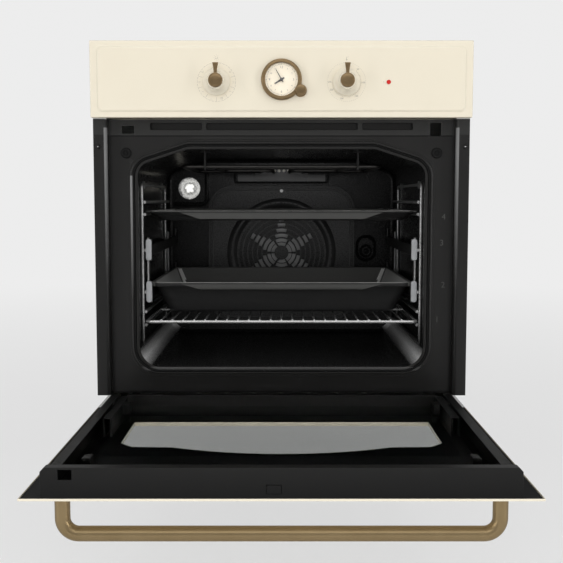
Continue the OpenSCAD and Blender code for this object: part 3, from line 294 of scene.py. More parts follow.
def net(grid, close_rows=False, close_columns=True, start=0, caps=()):
    """Four-sided faces between neighbours of a grid of points, joined end to end where closed,
    and a many-sided face on each row that caps names."""
    rows, columns = grid.shape[:2]
    order = np.arange(rows * columns).reshape(rows, columns) + start
    ends = [tuple(order[row].tolist()) for row in caps]
    if close_rows:
        order = np.vstack([order, order[:1]])
    if close_columns:
        order = np.hstack([order, order[:, :1]])
    faces = np.stack([order[:-1, :-1], order[:-1, 1:], order[1:, 1:], order[1:, :-1]], -1).reshape(-1, 4)
    return [tuple(face) for face in faces.tolist()] + ends


def on_circle(cx, cz, radius, turn):
    """Points at the angles turn: centre plus radius times cosine and sine."""
    return np.stack([cx + radius * np.cos(turn), cz + radius * np.sin(turn)], -1)


def rounded_loop(x0, x1, z0, z1, radius, arc=10):
    """A rectangle with round corners, walked anticlockwise: at each corner an arc of the radius
    about a centre that lies one radius inside both edges."""
    turn = np.linspace(0, math.pi / 2, arc)
    centres = [(x1 - radius, z1 - radius), (x0 + radius, z1 - radius),
               (x0 + radius, z0 + radius), (x1 - radius, z0 + radius)]
    return np.concatenate([
        on_circle(*centre, radius, turn + k * math.pi / 2) for k, centre in enumerate(centres)])


FACE_Y = -0.293


def stack(loops):
    """Lays pairs of a flat loop of X and Z and its depth behind the panel's face, all in mm, as
    one array of rows of points in metres."""
    return np.stack([np.insert(loop / 1000, 1, FACE_Y + depth / 1000, axis=1) for loop, depth in loops])


ivory = clouded(
    "ivory_enamel", (0.84, 0.77, 0.62), (0.88, 0.81, 0.66), (0.18, 0.26), 0.0, 12, 0.8, (300, 8e-6),
    Coat_Weight=0.4, Coat_Roughness=0.05)
PANEL_X, PANEL_LOW, PANEL_HIGH = 297.5, 477, 595
press = [  # side inset, top inset, depth behind the field and corner radius of each pressed line, in mm
    (1.5, 1.5, 21.7, 1), (0, 0, 21.7, 1.5), (0, 0, 4.2, 1.5), (0.3, 0.3, 3.2, 1.5), (1.1, 1.1, 2.6, 1.6),
    (2, 2, 2.5, 2), (9.6, 7.6, 2.5, 6), (10.4, 8.4, 2.4, 7), (11.2, 9.2, 1.9, 8), (12.4, 10.4, 0.6, 8),
    (13.2, 11.2, 0.1, 8), (14, 12, 0, 8), (16, 14, 0, 8)]
panel = stack((rounded_loop(-PANEL_X + sx, PANEL_X - sx, PANEL_LOW + sz, PANEL_HIGH - sz, r), d)
              for sx, sz, d, r in press)
piece("panel_pressing", panel, ivory, "ivory_enamel", "control_panel", sharp=60, caps=[-1])
underside = stack((rounded_loop(-274, 274, PANEL_LOW, PANEL_LOW + 1.5, 0.6), d) for d in (4, 41.7))
piece("panel_underside", underside, ivory, "ivory_enamel", "control_panel", caps=[0, 1])
dress(new_material("red_plastic", (0.6, 0.02, 0.015), 0.15), "pilot_lamp")

# ----------------------------------------------
# Printed scales: thin grey-brown screen print on the enamel round both knobs, with plain
# numbers for the temperatures, cells with small signs for the functions, and no words.
print_ink = new_material("scale_print", (0.30, 0.27, 0.22), 0.5)
PRINT_Y = FACE_Y - 0.00005
KNOB_X, KNOB_Z = 0.1007, 0.531
left, right = (-KNOB_X, KNOB_Z), (KNOB_X, KNOB_Z)


def polar(centre, radius, clock):
    """The point at a radius in mm and a clockwise angle in degrees from the top."""
    turn = np.radians(clock)
    return np.stack([centre[0] + radius / 1000 * np.sin(turn), centre[1] + radius / 1000 * np.cos(turn)], -1)


def printed(name, lines, ink, y=PRINT_Y, slot_name="ivory_enamel"):
    """Joins flat printed lines, each given as its points and its width in mm, to one piece: each
    point of a line is moved half the width to either side along the line's normal."""
    points, faces, count = [], [], 0
    for line, width in lines:
        ahead = np.gradient(line, axis=0)
        normal = np.stack([-ahead[:, 1], ahead[:, 0]], -1) / np.linalg.norm(ahead, axis=1)[:, None]
        band = np.stack([line - normal * width / 2000, line + normal * width / 2000])
        points.append(np.insert(band, 1, y, axis=-1).reshape(-1, 3))
        faces += net(band, close_columns=False, start=count)
        count += len(points[-1])
    piece(name, np.concatenate(points), ink, slot_name, faces=faces)


def sign(centre, strokes, width):
    """A line through points that are given in mm from a centre, with its width in mm."""
    return np.asarray(centre) + np.array(strokes) / 1000, width


# The left knob's scale: a broken ring, eight cells between short radial lines, a small sign in
# each cell, and the sign of a lamp over them.
lines = [(polar(left, 29.6, np.linspace(start, start + 7.5, 6)), 0.3) for start in range(18, 378, 10)]
lines += [(polar(left, np.linspace(23.2, 29.2, 2), clock), 0.3) for clock in range(72, 289, 36)]
shapes = [
    [(-1.5, 1.1), (1.5, 1.1), (1.5, -1.1), (-1.5, -1.1), (-1.5, 1.1)],
    [(-1.5, 1.2), (1.5, 1.2)], [(-1.5, -1.2), (1.5, -1.2)],
    [(-1.4, 0.9), (-0.7, 0.3), (0, 0.9), (0.7, 0.3), (1.4, 0.9)]]
for cell, clock in zip(([0], [1, 2], [1], [0, 3], [2], [3], [3, 2], [0, 2]), range(54, 307, 36)):
    lines += [sign(polar(left, 26.2, clock), shapes[k], 0.28) for k in cell]
lamp_sign = (left[0], KNOB_Z + 0.0372)
lines.append((polar(lamp_sign, 1.9, np.linspace(30, 330, 16)), 0.35))
lines += [sign(polar(lamp_sign, 4.0, clock), [(-0.25, 0), (0.25, 0)], 0.5) for clock in range(0, 360, 45)]

# The right knob's scale: a ring of dashes, ten marks on an arc, and the sign of a thermometer.
lines += [(polar(right, 29.6, np.linspace(start, start + 3, 4)), 0.26) for start in range(1, 361, 6)]
lines += [(polar(right, np.linspace(22.4, 24.0, 2), clock), 0.3)
          for clock in (42, 67, 92, 119, 145, 170, 196, 220, 243, 270)]
lines.append((polar(right, 22.3, np.linspace(42, 270, 60)), 0.2))
thermo = np.array([right[0], KNOB_Z + 0.0365])
lines.append((polar(thermo - [0, 0.0024], 0.8, np.linspace(0, 360, 10)), 0.5))
lines += [sign(thermo, [(0, -1.6), (0, 2.2)], 0.4), sign(thermo, [(1.6, 1.8), (2.6, 1.8)], 0.4)]
lines.append(sign((0.1582, KNOB_Z), [(0.6, 1.2), (-0.6, 0.1), (0.5, 0.1), (-0.5, -1.2)], 0.32))
printed("printed_scales", lines, print_ink)


def number(name, words, height, place, y, ink):
    """A plain number of the given height in mm, 1 / 1.4 of its letter size, centred on a place on
    the oven's front: flat letters made a mesh, stood up and moved to the place in its points."""
    letters = bpy.data.curves.new(name, "FONT")
    letters.body = words
    letters.size = height / 1000 * 1.4
    letters.align_x = letters.align_y = "CENTER"
    letters.resolution_u = 3
    source = bpy.data.objects.new(name, letters)
    flat = bpy.data.meshes.new_from_object(source)
    flat.name = name
    bpy.data.objects.remove(source)
    stood_up = Matrix.Rotation(math.radians(90), 4, "X")
    flat.transform(Matrix.Translation((place[0], y, place[1])) @ stood_up)
    finished(name, flat, ink)


for words, clock in (("50", 42), ("100", 92), ("150", 145), ("200", 196), ("250", 243), ("275", 270)):
    number(f"scale_number_{words}", words, 2.6, polar(right, 26.2, clock), PRINT_Y, print_ink)

# ----------------------------------------------
# Knobs: a bell-shaped skirt of ivory plastic, and on it a turned cap of browned brass with a
# flared pointer that stands over the skirt. Both sit on the spindle of the switch behind.
def points_of(x, y, z):
    """Three coordinates, arrays or numbers, spread over one grid of points."""
    return np.stack(np.broadcast_arrays(x, y, z), -1)


def lathe(name, profile, centre, finish, slot_name, stands_for=None, body="oven", steps=96, sharp=40,
          ripple=None):
    """A turned piece: every pair of radius and height in front of the panel, in mm, becomes a ring
    about a horizontal axis through the centre (X, Z). ripple scales a ring's radius by its angle."""
    turn = np.linspace(0, 2 * math.pi, steps, endpoint=False)
    radius, height = np.array(profile, float).T[:, :, None]
    radius = radius / 1000 * (ripple(turn, height) if ripple else np.ones(steps))
    rings = points_of(
        centre[0] + radius * np.cos(turn), FACE_Y - height / 1000, centre[1] + radius * np.sin(turn))
    return piece(name, rings, finish, slot_name, stands_for, body, sharp)


def arc_of(cx, cy, radius, start, end, steps):
    """Points of a profile on an arc from one angle to another, in degrees."""
    return on_circle(cx, cy, radius, np.radians(np.linspace(start, end, steps))).tolist()


bronze = clouded(
    "aged_brass", (0.24, 0.165, 0.085), (0.34, 0.24, 0.13), (0.26, 0.4), 1.0, 160, 1.2, (1500, 6e-6))
bell = [(0, 0.6), (19.5, 0.6)] + arc_of(19.3, 1.8, 1.2, -90, 60, 8)
bell += [(35 - math.sqrt(22.5 ** 2 - (h - 25) ** 2), h) for h in np.linspace(7.4, 21.2, 18)]
bell += [(12.6, 22.2), (11.5, 22.6), (0, 22.6)]
cap = [(0, 22.6), (10.2, 22.6)] + arc_of(10.2, 23.4, 0.8, -90, 0, 5) + arc_of(9.6, 27.6, 1.4, 0, 75, 7)
cap += [(9.2, 29.1), (8.9, 28.85), (8.6, 28.95), (6, 29.25), (3, 29.35), (0, 29.4)]

# The pointer's sections run up from the cap: their height, half width and half thickness in mm.
# Each is a squarish oval, cosine and sine raised to small powers.
blade_z = np.concatenate([[8.0, 10.0], np.linspace(11, 25.6, 14), [26.1, 26.4, 26.5, 26.5]])
blade_half = 2.55 + 2.05 * np.clip((blade_z - 11) / 15, 0, 1) ** 1.7
blade_half[-4:] = [4.5, 4.2, 3.6, 0.0]
blade_thick = np.full(len(blade_z), 1.7)
blade_thick[-4:] = [1.65, 1.4, 1.0, 0.0]
oval = np.linspace(0, 2 * math.pi, 24, endpoint=False)
oval_x = np.sign(np.cos(oval)) * np.abs(np.cos(oval)) ** 0.35
oval_y = np.sign(np.sin(oval)) * np.abs(np.sin(oval)) ** 0.5
for place, knob, body in ((left, "function", "function_selector"), (right, "thermostat", "thermostat_dial")):
    lathe(f"{knob}_bell", bell, place, ivory, "ivory_plastic", f"{knob}_knob", body)
    lathe(f"{knob}_button", cap, place, bronze, "aged_brass", f"{knob}_cap", body, sharp=50)
    blade = points_of(
        place[0] + blade_half[:, None] / 1000 * oval_x, FACE_Y - (25.6 + blade_thick[:, None] * oval_y) / 1000,
        place[1] + blade_z[:, None] / 1000)
    piece(f"{knob}_pointer", blade, bronze, "aged_brass", f"{knob}_cap", body)

# ----------------------------------------------
# Clock: a turned bezel of browned brass with a lobe for the setting knob, a cream dial with
# plain numerals, two dark hands, and a flat glass. The movement sits behind the panel.
clock_at, crown_at = (0.0, 0.5345), (0.0295, 0.5177)
ring = [(25.5, 0), (31.2, 0), (31.5, 0.6), (31.5, 5.2)] + arc_of(28.7, 6.4, 2.8, 0, 90, 9)
ring += [(27.6, 9.6), (26.9, 9.9), (26.2, 9.7), (25.5, 9), (25.5, 0)]
lathe("bezel_ring", ring, clock_at, bronze, "aged_brass", "clock_bezel", steps=144)
lobe = [(0, 0), (9.5, 0), (9.7, 0.4), (9.7, 4.6), (9.3, 5.2), (8.6, 5.4), (0, 5.4)]
lathe("bezel_lobe", lobe, crown_at, bronze, "aged_brass", "clock_bezel")
crown = [(0, 5.8), (7.6, 5.8), (8.2, 6.2), (8.2, 12.4)] + arc_of(7.2, 12.4, 1, 0, 80, 5)
crown += [(5.5, 13.7), (0, 13.9)]


def milled(turn, height):
    """36 shallow ribs round the crown's flank."""
    return 1 + np.where((height > 6.1) & (height < 12.5), 0.018 * np.cos(36 * turn), 0)


lathe("setting_knob", crown, crown_at, bronze, "aged_brass", "clock_crown", "clock_setter", steps=144,
      ripple=milled)
dress(clouded("cream_paint", (0.765, 0.69, 0.55), (0.795, 0.72, 0.58), 0.5, scale=80), "clock_dial")
hand_paint = clouded("hand_paint", (0.02, 0.018, 0.016), (0.03, 0.028, 0.025), 0.4)
dress(hand_paint, "minute_hand", "hour_hand")
dial_ink = new_material("dial_print", (0.16, 0.15, 0.14), 0.5)
DIAL_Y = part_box("clock_dial")[0].y - 0.00005
marks = [(polar(clock_at, np.linspace(22.6, 23.8 if k % 5 else 24.2, 2), k * 6), 0.22 if k % 5 else 0.5)
         for k in range(60)]
marks.append((polar(clock_at, 22.6, np.linspace(0, 360, 120)), 0.15))
printed("minute_track", marks, dial_ink, y=DIAL_Y, slot_name="cream_paint")
for hour in range(1, 13):
    number(f"dial_number_{hour}", str(hour), 2.4 if hour % 3 else 3.6, polar(clock_at, 18.6, hour * 30), DIAL_Y,
           dial_ink)

EDGE_ANGLE = 35  # degrees


def rounded(name, node, finish, width, body="oven", segments=2):
    """A copy of a CAD node with its points merged and its level triangles joined to faces, whose
    edges sharper than EDGE_ANGLE are rounded by a bevel of the given width in mm."""
    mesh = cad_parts[node].data.copy()
    mesh.name = name
    joined = merged(mesh, 1e-6)
    bmesh.ops.dissolve_limit(joined, angle_limit=math.radians(0.5), verts=joined.verts, edges=joined.edges,
                             use_dissolve_boundaries=False)
    joined.to_mesh(mesh)
    joined.free()
    made = finished(name, mesh, finish, node, body, EDGE_ANGLE)
    bevel = made.modifiers.new("rounded_edges", "BEVEL")
    bevel.width = width / 1000
    bevel.segments = segments
    bevel.limit_method = "ANGLE"
    bevel.angle_limit = math.radians(EDGE_ANGLE)
    bevel.use_clamp_overlap = False
    bevel.harden_normals = True
    return made


clear = new_material("clear_glass", 1, 0.02, Transmission_Weight=1.0, IOR=1.45)
rounded("clock_pane", "clock_glass", clear, 0.2).visible_shadow = False

# ----------------------------------------------
# Front frame: a black enamelled pressing that closes the niche's front, with side flanges, a
# rounded step, punched air slots, and a bead pressed round the mouth on both sides of the gasket.
black = clouded(
    "black_enamel", (0.0075, 0.0073, 0.0068), (0.0115, 0.011, 0.0105), (0.3, 0.38), 0.0, 30, 1, (500, 1e-5),
    Specular_IOR_Level=0.34)
dress(black, "cooling_duct")


def copied(made, name):
    """A material's copy under its own name, and X, Y and Z in metres as fields of its nodes."""
    made = made.copy()
    made.name = name
    return made, *axes_of(made)


def axes_of(made):
    """X, Y and Z of the surface point in the object's own frame, in metres, as fields."""
    tree = made.node_tree
    axes = add_node(tree, "SeparateXYZ", {0: add_node(tree, "TexCoord").outputs["Object"]})
    return [Field(axes.outputs[k]) for k in "XYZ"]


def tint(made, mask, colour):
    """Mixes one more colour over a material's base colour by a mask."""
    shader = made.node_tree.nodes["Principled BSDF"]
    base = shader.inputs["Base Color"].links[0].from_socket
    over = add_node(made.node_tree, "Mix", {"A": base, "B": rgba(colour), "Factor": mask}, data_type="RGBA")
    fill(shader, {"Base Color": over.outputs["Result"]})


# The sheet is painted a little darker towards its foot as painted shade, its upper strip above the
# fold is painted paler as painted light, and the bend beside each side flange carries a painted grey
# highlight near the top.
FOLD_Z = 451.2
frame_black, x, y, z = copied(black, "frame_black")
tint(frame_black, z.ramp(0.38, -0.87), 0.003)
tint(frame_black, (z > FOLD_Z / 1000 + 0.0006) * 0.8, (0.026, 0.026, 0.025))
# Painted highlight: a grey streak on the bend beside each side flange, stronger towards the top.
bend_highlight_mask = abs(x).between(0.2742, 0.2808) * (y < FACE_Y + 0.0275) * (z < 0.463)
tint(frame_black, z.ramp(0.2, 0.42) ** 1.3 * bend_highlight_mask, 0.2)
rounded("frame_sheet", "front_frame", frame_black, 0.35)

# The sheet's upper strip is folded along one line, drawn as a thin near-black matt bead that is
# painted shade, and a black pan-head screw in each flange fixes the oven to its niche.
fold_shadow_paint = new_material("fold_shade", 0.003, 0.8, Specular_IOR_Level=0.05)
fold_x = np.linspace(-273.6, 273.6, 5)
fold = stack((np.stack([fold_x, np.full(5, FOLD_Z + rise)], -1), depth)
             for rise, depth in ((-0.6, 42.05), (-0.5, 41.75), (0, 41.6), (0.5, 41.75), (0.6, 42.05)))
piece("fold_shadow_line", fold, fold_shadow_paint, "black_enamel", close_columns=False)
screw_head = [(0, -19.4), (1.4, -19.4), (2.6, -19.8), (3.5, -20.6), (3.9, -21.6), (3.9, -21.95), (2.8, -22),
              (2.8, -25), (0, -25)]
screw_cross = [(0, -19.3), (0.5, -19.32), (0.9, -19.36), (1.1, -19.5), (0, -19.5)]
SIDES = ((-1, "left"), (1, "right"))
for side, word in SIDES:
    lathe(f"niche_screw_{word}", screw_head, (side * 0.29, 0.433), black, "black_enamel", steps=32)
    lathe(f"niche_screw_socket_{word}", screw_cross, (side * 0.29, 0.433), screw_steel, "black_enamel",
          steps=16)

# The mouth in mm: its half width, foot and flat top, the radii and centres of its lower corners
# and shoulders, and the sloped ceiling that meets the flat top at a knee.
MOUTH_X, MOUTH_FOOT, MOUTH_TOP = 231, 77, 430
CORNER_R, SHOULDER_R, KNEE_R = 34, 24, 26
SLOPE = math.atan2(26, 81)
CORNER_X, CORNER_Z, KNEE_X = MOUTH_X - CORNER_R, MOUTH_FOOT + CORNER_R, 150
SHOULDER_X = MOUTH_X - SHOULDER_R
SHOULDER_Z = MOUTH_TOP - (SHOULDER_R + (SHOULDER_X - KNEE_X) * math.sin(SLOPE)) / math.cos(SLOPE)


def mouth_loop(grow):
    """The mouth's outline grown outwards by some mm, with a constant number of points: arcs for
    the lower corners and the shoulders, a short arc where each shoulder meets the flat top, and
    straight lines between them. Anticlockwise from the lower right."""
    knee_r = KNEE_R + grow
    knee_x = KNEE_X + (grow - knee_r) * math.tan(SLOPE / 2)
    half = np.concatenate([
        on_circle(CORNER_X, CORNER_Z, CORNER_R + grow, np.linspace(-math.pi / 2, 0, 14)),
        np.stack([np.full(9, MOUTH_X + grow), np.linspace(CORNER_Z, SHOULDER_Z, 11)[1:-1]], -1),
        on_circle(SHOULDER_X, SHOULDER_Z, SHOULDER_R + grow, np.linspace(0, math.pi / 2 - SLOPE, 14)),
        on_circle(knee_x, MOUTH_TOP + grow - knee_r, knee_r, np.linspace(math.pi / 2 - SLOPE, math.pi / 2, 5))])
    top = np.stack([np.linspace(half[-1, 0], -half[-1, 0], 13)[1:-1], np.full(11, MOUTH_TOP + grow)], -1)
    low = np.stack([np.linspace(-half[0, 0], half[0, 0], 15)[1:-1], np.full(13, MOUTH_FOOT - grow)], -1)
    return np.concatenate([half, top, half[::-1] * [-1, 1], low])


def mouth_loft(name, profile, finish, slot_name, stands_for):
    """A ring that follows the mouth: each pair of growth and depth behind the panel's face, in mm,
    becomes one loop round the mouth, and neighbouring loops are joined."""
    loops = stack((mouth_loop(grow), depth) for grow, depth in profile)
    piece(name, loops, finish, slot_name, stands_for, sharp=50, close_rows=True)


# The beads' enamel carries a painted grey highlight on the left flank of the mouth and along its foot.
bead_enamel, x, y, z = copied(black, "bead_enamel")
left_bead_highlight = (x < -0.237) * (z < 0.388) * z.ramp(0.19, 0.35)
tint(bead_enamel, left_bead_highlight.worked("MAXIMUM", z.between(0.0715, 0.0775) * 0.25), 0.2)
inner_bead = [(-0.2, 42.9), (-0.25, 41.9), (-0.1, 41.2), (0.4, 40.75), (1.3, 40.5), (2.5, 40.42), (3.6, 40.5),
              (4.4, 40.75), (4.8, 41.2), (4.85, 42.3), (2.5, 42.6)]
outer_bead = [(8.4, 42.3), (8.3, 41.3), (8.6, 40.8), (9.3, 40.55), (10.3, 40.6), (11.3, 40.85), (12.3, 41.4),
              (13.5, 41.8), (15.1, 41.96), (15.1, 42.5)]
mouth_loft("inner_bead", inner_bead, bead_enamel, "black_enamel", "front_frame")
mouth_loft("outer_bead", outer_bead, bead_enamel, "black_enamel", "front_frame")

# ----------------------------------------------
# Gasket and buffers: a soft black profile seal with a rounded lip in the groove round the mouth,
# and two round rubber buffers that plug into the frame and catch the door.
rubber = clouded("gasket_rubber", 0.005, 0.009, (0.5, 0.7), scale=200, Specular_IOR_Level=0.15)
lip = [(5.1, 41.9), (5, 40.2), (5.3, 39.35), (5.8, 38.9), (6.4, 38.82), (6.9, 39.1), (7.2, 39.7), (7.4, 40.6),
       (7.8, 41.1), (8.3, 41.2), (8.7, 41.5), (8.8, 41.9)]
mouth_loft("seal_lip", lip, rubber, "gasket_rubber", "door_gasket")
buffer = [(0, -39.4), (2.2, -39.4), (2.9, -39.6), (3.2, -40.1), (3.5, -39.3), (4.2, -38.9), (6.6, -38.8),
          (7.8, -39.1), (8.4, -39.9), (8.5, -41.9), (3, -41.95), (3, -46.9), (0, -47)]
for side, word in SIDES:
    lathe(f"buffer_{word}", buffer, (side * 0.249, 0.424), rubber, "gasket_rubber", "door_buffers", steps=48)

# ----------------------------------------------
# Cavity: a deep-drawn and welded muffle in speckled black enamel. Its walls run back in one loft,
# and the rear wall carries the pressed lamp recess, the sensor's boss and stiffening beads.
oven_enamel = clouded(
    "oven_enamel", 0.006, 0.011, (0.2, 0.32), 0.0, 600, 2, (260, 3e-5), Specular_IOR_Level=0.3)
REAR_D, REAR_R = 450, 8
wall_profile = [(0.7, 43.05), (0.15, 43.3), (-0.02, 44.2), (0, 52), (0, 140), (0, 260), (0, 380), (0, 436)]
wall_profile += arc_of(-REAR_R, REAR_D - REAR_R, REAR_R, 0, 90, 9)[1:]
outer_skin = [(-8, 451), (-2, 450.4), (1, 444), (1, 380), (1, 140), (1, 43.3)]

# A painted grey highlight lies in a band along the two rounded lower corners of the muffle, and
# the floor is painted a little paler as a painted reflection. The band lies at a share of the
# corner's quarter turn.
muffle_enamel, x, y, z = copied(oven_enamel, "muffle_enamel")
corner_x = abs(x) - CORNER_X / 1000
corner_z = z * -1.0 + CORNER_Z / 1000
quarter_share = corner_z.worked("ARCTAN2", corner_x) * (2 / math.pi)
band = abs(quarter_share - 0.4).ramp(1 / 2.9, 0.0)
# Painted highlight in the lower corners, then a painted reflection on the floor.
tint(muffle_enamel, band * (corner_x > -0.004) * (corner_z > -0.004) * 0.95, 0.75)
tint(muffle_enamel, (z < 0.0785) * 0.5, 0.022)
mouth_loft("muffle_walls", wall_profile + outer_skin, muffle_enamel, "oven_enamel", "cavity")


def mouth_half_width(z, grow):
    """Half the mouth's width at heights z in mm: a circle for the lower corner, the straight wall,
    a circle for the shoulder, then the sloped ceiling up to the flat top."""
    corner_r, shoulder_r = CORNER_R + grow, SHOULDER_R + grow
    foot = CORNER_X + np.sqrt(np.clip(corner_r ** 2 - np.clip(CORNER_Z - z, 0, None) ** 2, 0, None))
    bend = SHOULDER_X + np.sqrt(np.clip(shoulder_r ** 2 - np.clip(z - SHOULDER_Z, 0, None) ** 2, 0, None))
    roof = KNEE_X + grow * math.tan(SLOPE / 2) + (MOUTH_TOP + grow - z) / math.tan(SLOPE)
    over = z > SHOULDER_Z + shoulder_r * math.cos(SLOPE)
    return np.where(over, np.minimum(roof, bend.max()), np.minimum(foot, bend))


def bump(distance, width, height):
    """A pressed form's height: full inside the outline, falling to nothing over the width outside
    it, along a smooth S-shaped step."""
    t = np.clip(0.5 - distance / width, 0, 1)
    return height * t * t * (3 - 2 * t)


def box_distance(x, z, x0, x1, z0, z1, radius):
    """Signed distance to a rectangle with round corners: negative inside, positive outside."""
    dx = np.abs(x - (x0 + x1) / 2) - (x1 - x0) / 2 + radius
    dz = np.abs(z - (z0 + z1) / 2) - (z1 - z0) / 2 + radius
    return np.hypot(np.clip(dx, 0, None), np.clip(dz, 0, None)) + np.minimum(np.maximum(dx, dz), 0) - radius


# Rows of the rear wall lie closer near its foot and top. Each pressed form is a bump over the
# distance to its outline, in mm: the lamp recess's frame, the boss with its ring and sensor on the
# right, and a bead under the ceiling. All fade out where the wall meets the muffle.
even = np.linspace(0, 1, 201)
height = MOUTH_FOOT + REAR_R + (MOUTH_TOP - MOUTH_FOOT - 2 * REAR_R) * (
    0.35 * (1 - np.cos(math.pi * even)) / 2 + 0.65 * even)
along = np.linspace(-1, 1, 251)
wall_x = mouth_half_width(height, -REAR_R)[:, None] * along
wall_z = height[:, None]
sensor = np.hypot(wall_x - 173, wall_z - 244)
pressed = bump(np.abs(box_distance(wall_x, wall_z, -230, -152, 340, 412, 12)) - 2, 3, 2.4)
pressed += bump(box_distance(wall_x, wall_z, 155, 191, 226, 274, 17), 4, 6)
pressed += bump(sensor - 4, 2, 3) - bump(sensor - 11, 3, 4.5)
pressed += bump(box_distance(wall_x, wall_z, -95, 95, 384, 412, 6), 4, 1.2)
pressed *= bump(np.abs(along) * 100 - 98, 3, 1)
pressed *= bump(np.abs(wall_z - (MOUTH_FOOT + MOUTH_TOP) / 2) - 166, 3, 1)
rear = points_of(wall_x / 1000, FACE_Y + (REAR_D - pressed) / 1000, wall_z / 1000)
piece("rear_wall", rear, oven_enamel, "oven_enamel", "cavity", sharp=60, close_columns=False)

# Level numbers: plain numbers, pressed beside the mouth at the height of each shelf position.
level_ink = new_material("level_marks", (0.07, 0.07, 0.068), 0.35, Specular_IOR_Level=0.3)
for level, place in ((4, (0.2616, 0.3217)), (3, (0.259, 0.2798)), (2, (0.262, 0.2116)), (1, (0.253, 0.155))):
    number(f"level_number_{level}", str(level), 9.5, place, FACE_Y + 0.04194, level_ink)

# ----------------------------------------------
# Racks, shelf and runners: welded wire side racks, whose feet are darker towards the bottom, a
# chromed wire shelf, and steel runners on rails that hook on to the racks' rungs.
rack_steel = clouded(
    "rack_steel", 0.3, (0.54, 0.54, 0.535), (0.24, 0.4), 0.8, 120, 1.6, (900, 5e-6))
x, y, z = axes_of(rack_steel)
tint(rack_steel, z.ramp(0.165, 0.13) * 0.8, 0.06)
dress(rack_steel, "side_rack_left", "side_rack_right")
dress(clouded("chromed_wire", 0.62, (0.78, 0.78, 0.77), (0.16, 0.28), 0.75, 200, 1, (900, 5e-6)), "wire_shelf")
runner_steel = clouded("runner_steel", 0.08, 0.14, (0.35, 0.5), 1.0, 100, 1, (900, 5e-6))
dress(runner_steel, "upper_runner_left", "upper_runner_right", "lower_runners")
dress(zinc, "runner_rails")

# ----------------------------------------------
# Oven lamp: a fluted glass dome screwed into the rear wall over a warm white bulb. Its glow falls
# off with the distance from the bulb in uneven rings, broken up by small facets.
lamp_glass = clouded(
    "lamp_glass", (0.35, 0.35, 0.34), (0.9, 0.9, 0.88), (0.06, 0.15), 0.0, 260, 6, (900, 3e-5),
    Emission_Strength=1.0)
BULB, GLOW_REACH = (-0.1855, 0.148, 0.3715), 0.023
tree = lamp_glass.node_tree
spot = add_node(tree, "TexCoord").outputs["Object"]
from_bulb = add_node(tree, "VectorMath", {0: spot, 1: BULB}, operation="DISTANCE").outputs["Value"]
facets = add_node(tree, "TexNoise", {"Vector": spot, "Scale": 170.0, "Detail": 1.0}).outputs["Fac"]
share = Field(from_bulb) * (1 / GLOW_REACH) + (Field(facets) * 0.5 - 0.25)
glow = add_node(tree, "ValToRGB", {"Fac": share})
rings = glow.color_ramp.elements
rings[0].color, rings[1].color = (1, 0.99, 0.95, 1), rgba(0.06)
for place, shade in ((0.34, 0.95), (0.44, 0.12), (0.56, 0.3), (0.7, 0.5), (0.85, 0.3)):
    rings.new(place).color = (shade, shade, shade * 0.96, 1)
fill(tree.nodes["Principled BSDF"], {"Emission Color": glow.outputs["Color"]})


def fluted(turn, height):
    """20 flutes round the dome's crown."""
    return 1 + np.where((height > -446) & (height < -438.1), 0.035 * np.cos(20 * turn), 0)


dome = [(0, -438.2), (6, -438), (10, -438.4), (13, -439.4), (15.5, -441.2), (18.5, -444.2), (20.4, -445),
        (21.6, -445.6), (22, -446.6), (22, -449.6), (18, -449.7), (18, -459.7), (0, -459.7)]
lathe("lamp_dome", dome, (-0.188, 0.372), lamp_glass, "clear_glass", "lamp_lens", steps=120, sharp=60,
      ripple=fluted).visible_glossy = False

# ----------------------------------------------
# Grill fittings: two black hangers under the ceiling, and the grey terminal plate behind, through
# which the rods pass in white ceramic beads.
plate_enamel = clouded("plate_enamel", 0.06, 0.085, (0.3, 0.42), 0.0, 300, 1, (500, 2e-5))
fittings = rounded("grill_fittings", "element_brackets", black, 0.3)
fittings.data.materials.append(plate_enamel)
on_plate = np.array([abs(face.center.x) < 0.1 for face in fittings.data.polygons])
fittings.data.polygons.foreach_set("material_index", on_plate.astype(np.int32))
ceramic = [(0, -443.5), (1.6, -443.5), (2.6, -444), (3, -445), (3, -446.5), (0, -446.5)]
for k, x in enumerate((-24, -14, -5, 5, 14, 24)):
    lathe(f"ceramic_bead_{k}", ceramic, (x / 1000, 0.4075), steatite, "rod_steel", steps=24)

# ----------------------------------------------
# Fan cover: a drawn pan in black enamel with six petals of stamped slots and a pressed ring. The
# grille over the fan is painted darker as painted shade, and the crests between its ring slots are
# painted a little paler as painted highlights.
FAN_Z, SLOT_PITCH = 0.242, 0.0098
cover_enamel = clouded("cover_enamel", 0.014, 0.024, (0.22, 0.34), 0.0, 600, 2, (260, 2e-5))
x, y, z = axes_of(cover_enamel)
reach = (x * x + (z - FAN_Z) * (z - FAN_Z)).worked("SQRT")
on_grille = reach.between(0.021, 0.086)
crest_highlight = (reach * (2 * math.pi / SLOT_PITCH)).worked("COSINE") > 0.72
tint(cover_enamel, on_grille * 0.85, 0.0015)
tint(cover_enamel, on_grille * crest_highlight, 0.03)
rounded("cover_pan", "fan_cover", cover_enamel, 0.35)

# The pan's rolled rim is painted paler as a painted highlight, and its foot darker as painted shade.
# The pressed ring swells out round the slots, and is painted a little paler as painted light.
cover_rim_highlight_enamel = clouded("cover_rim_highlight_enamel", 0.05, 0.08, (0.18, 0.28), 0.0, 60, 1, (260, 2e-5))
x, y, z = axes_of(cover_rim_highlight_enamel)
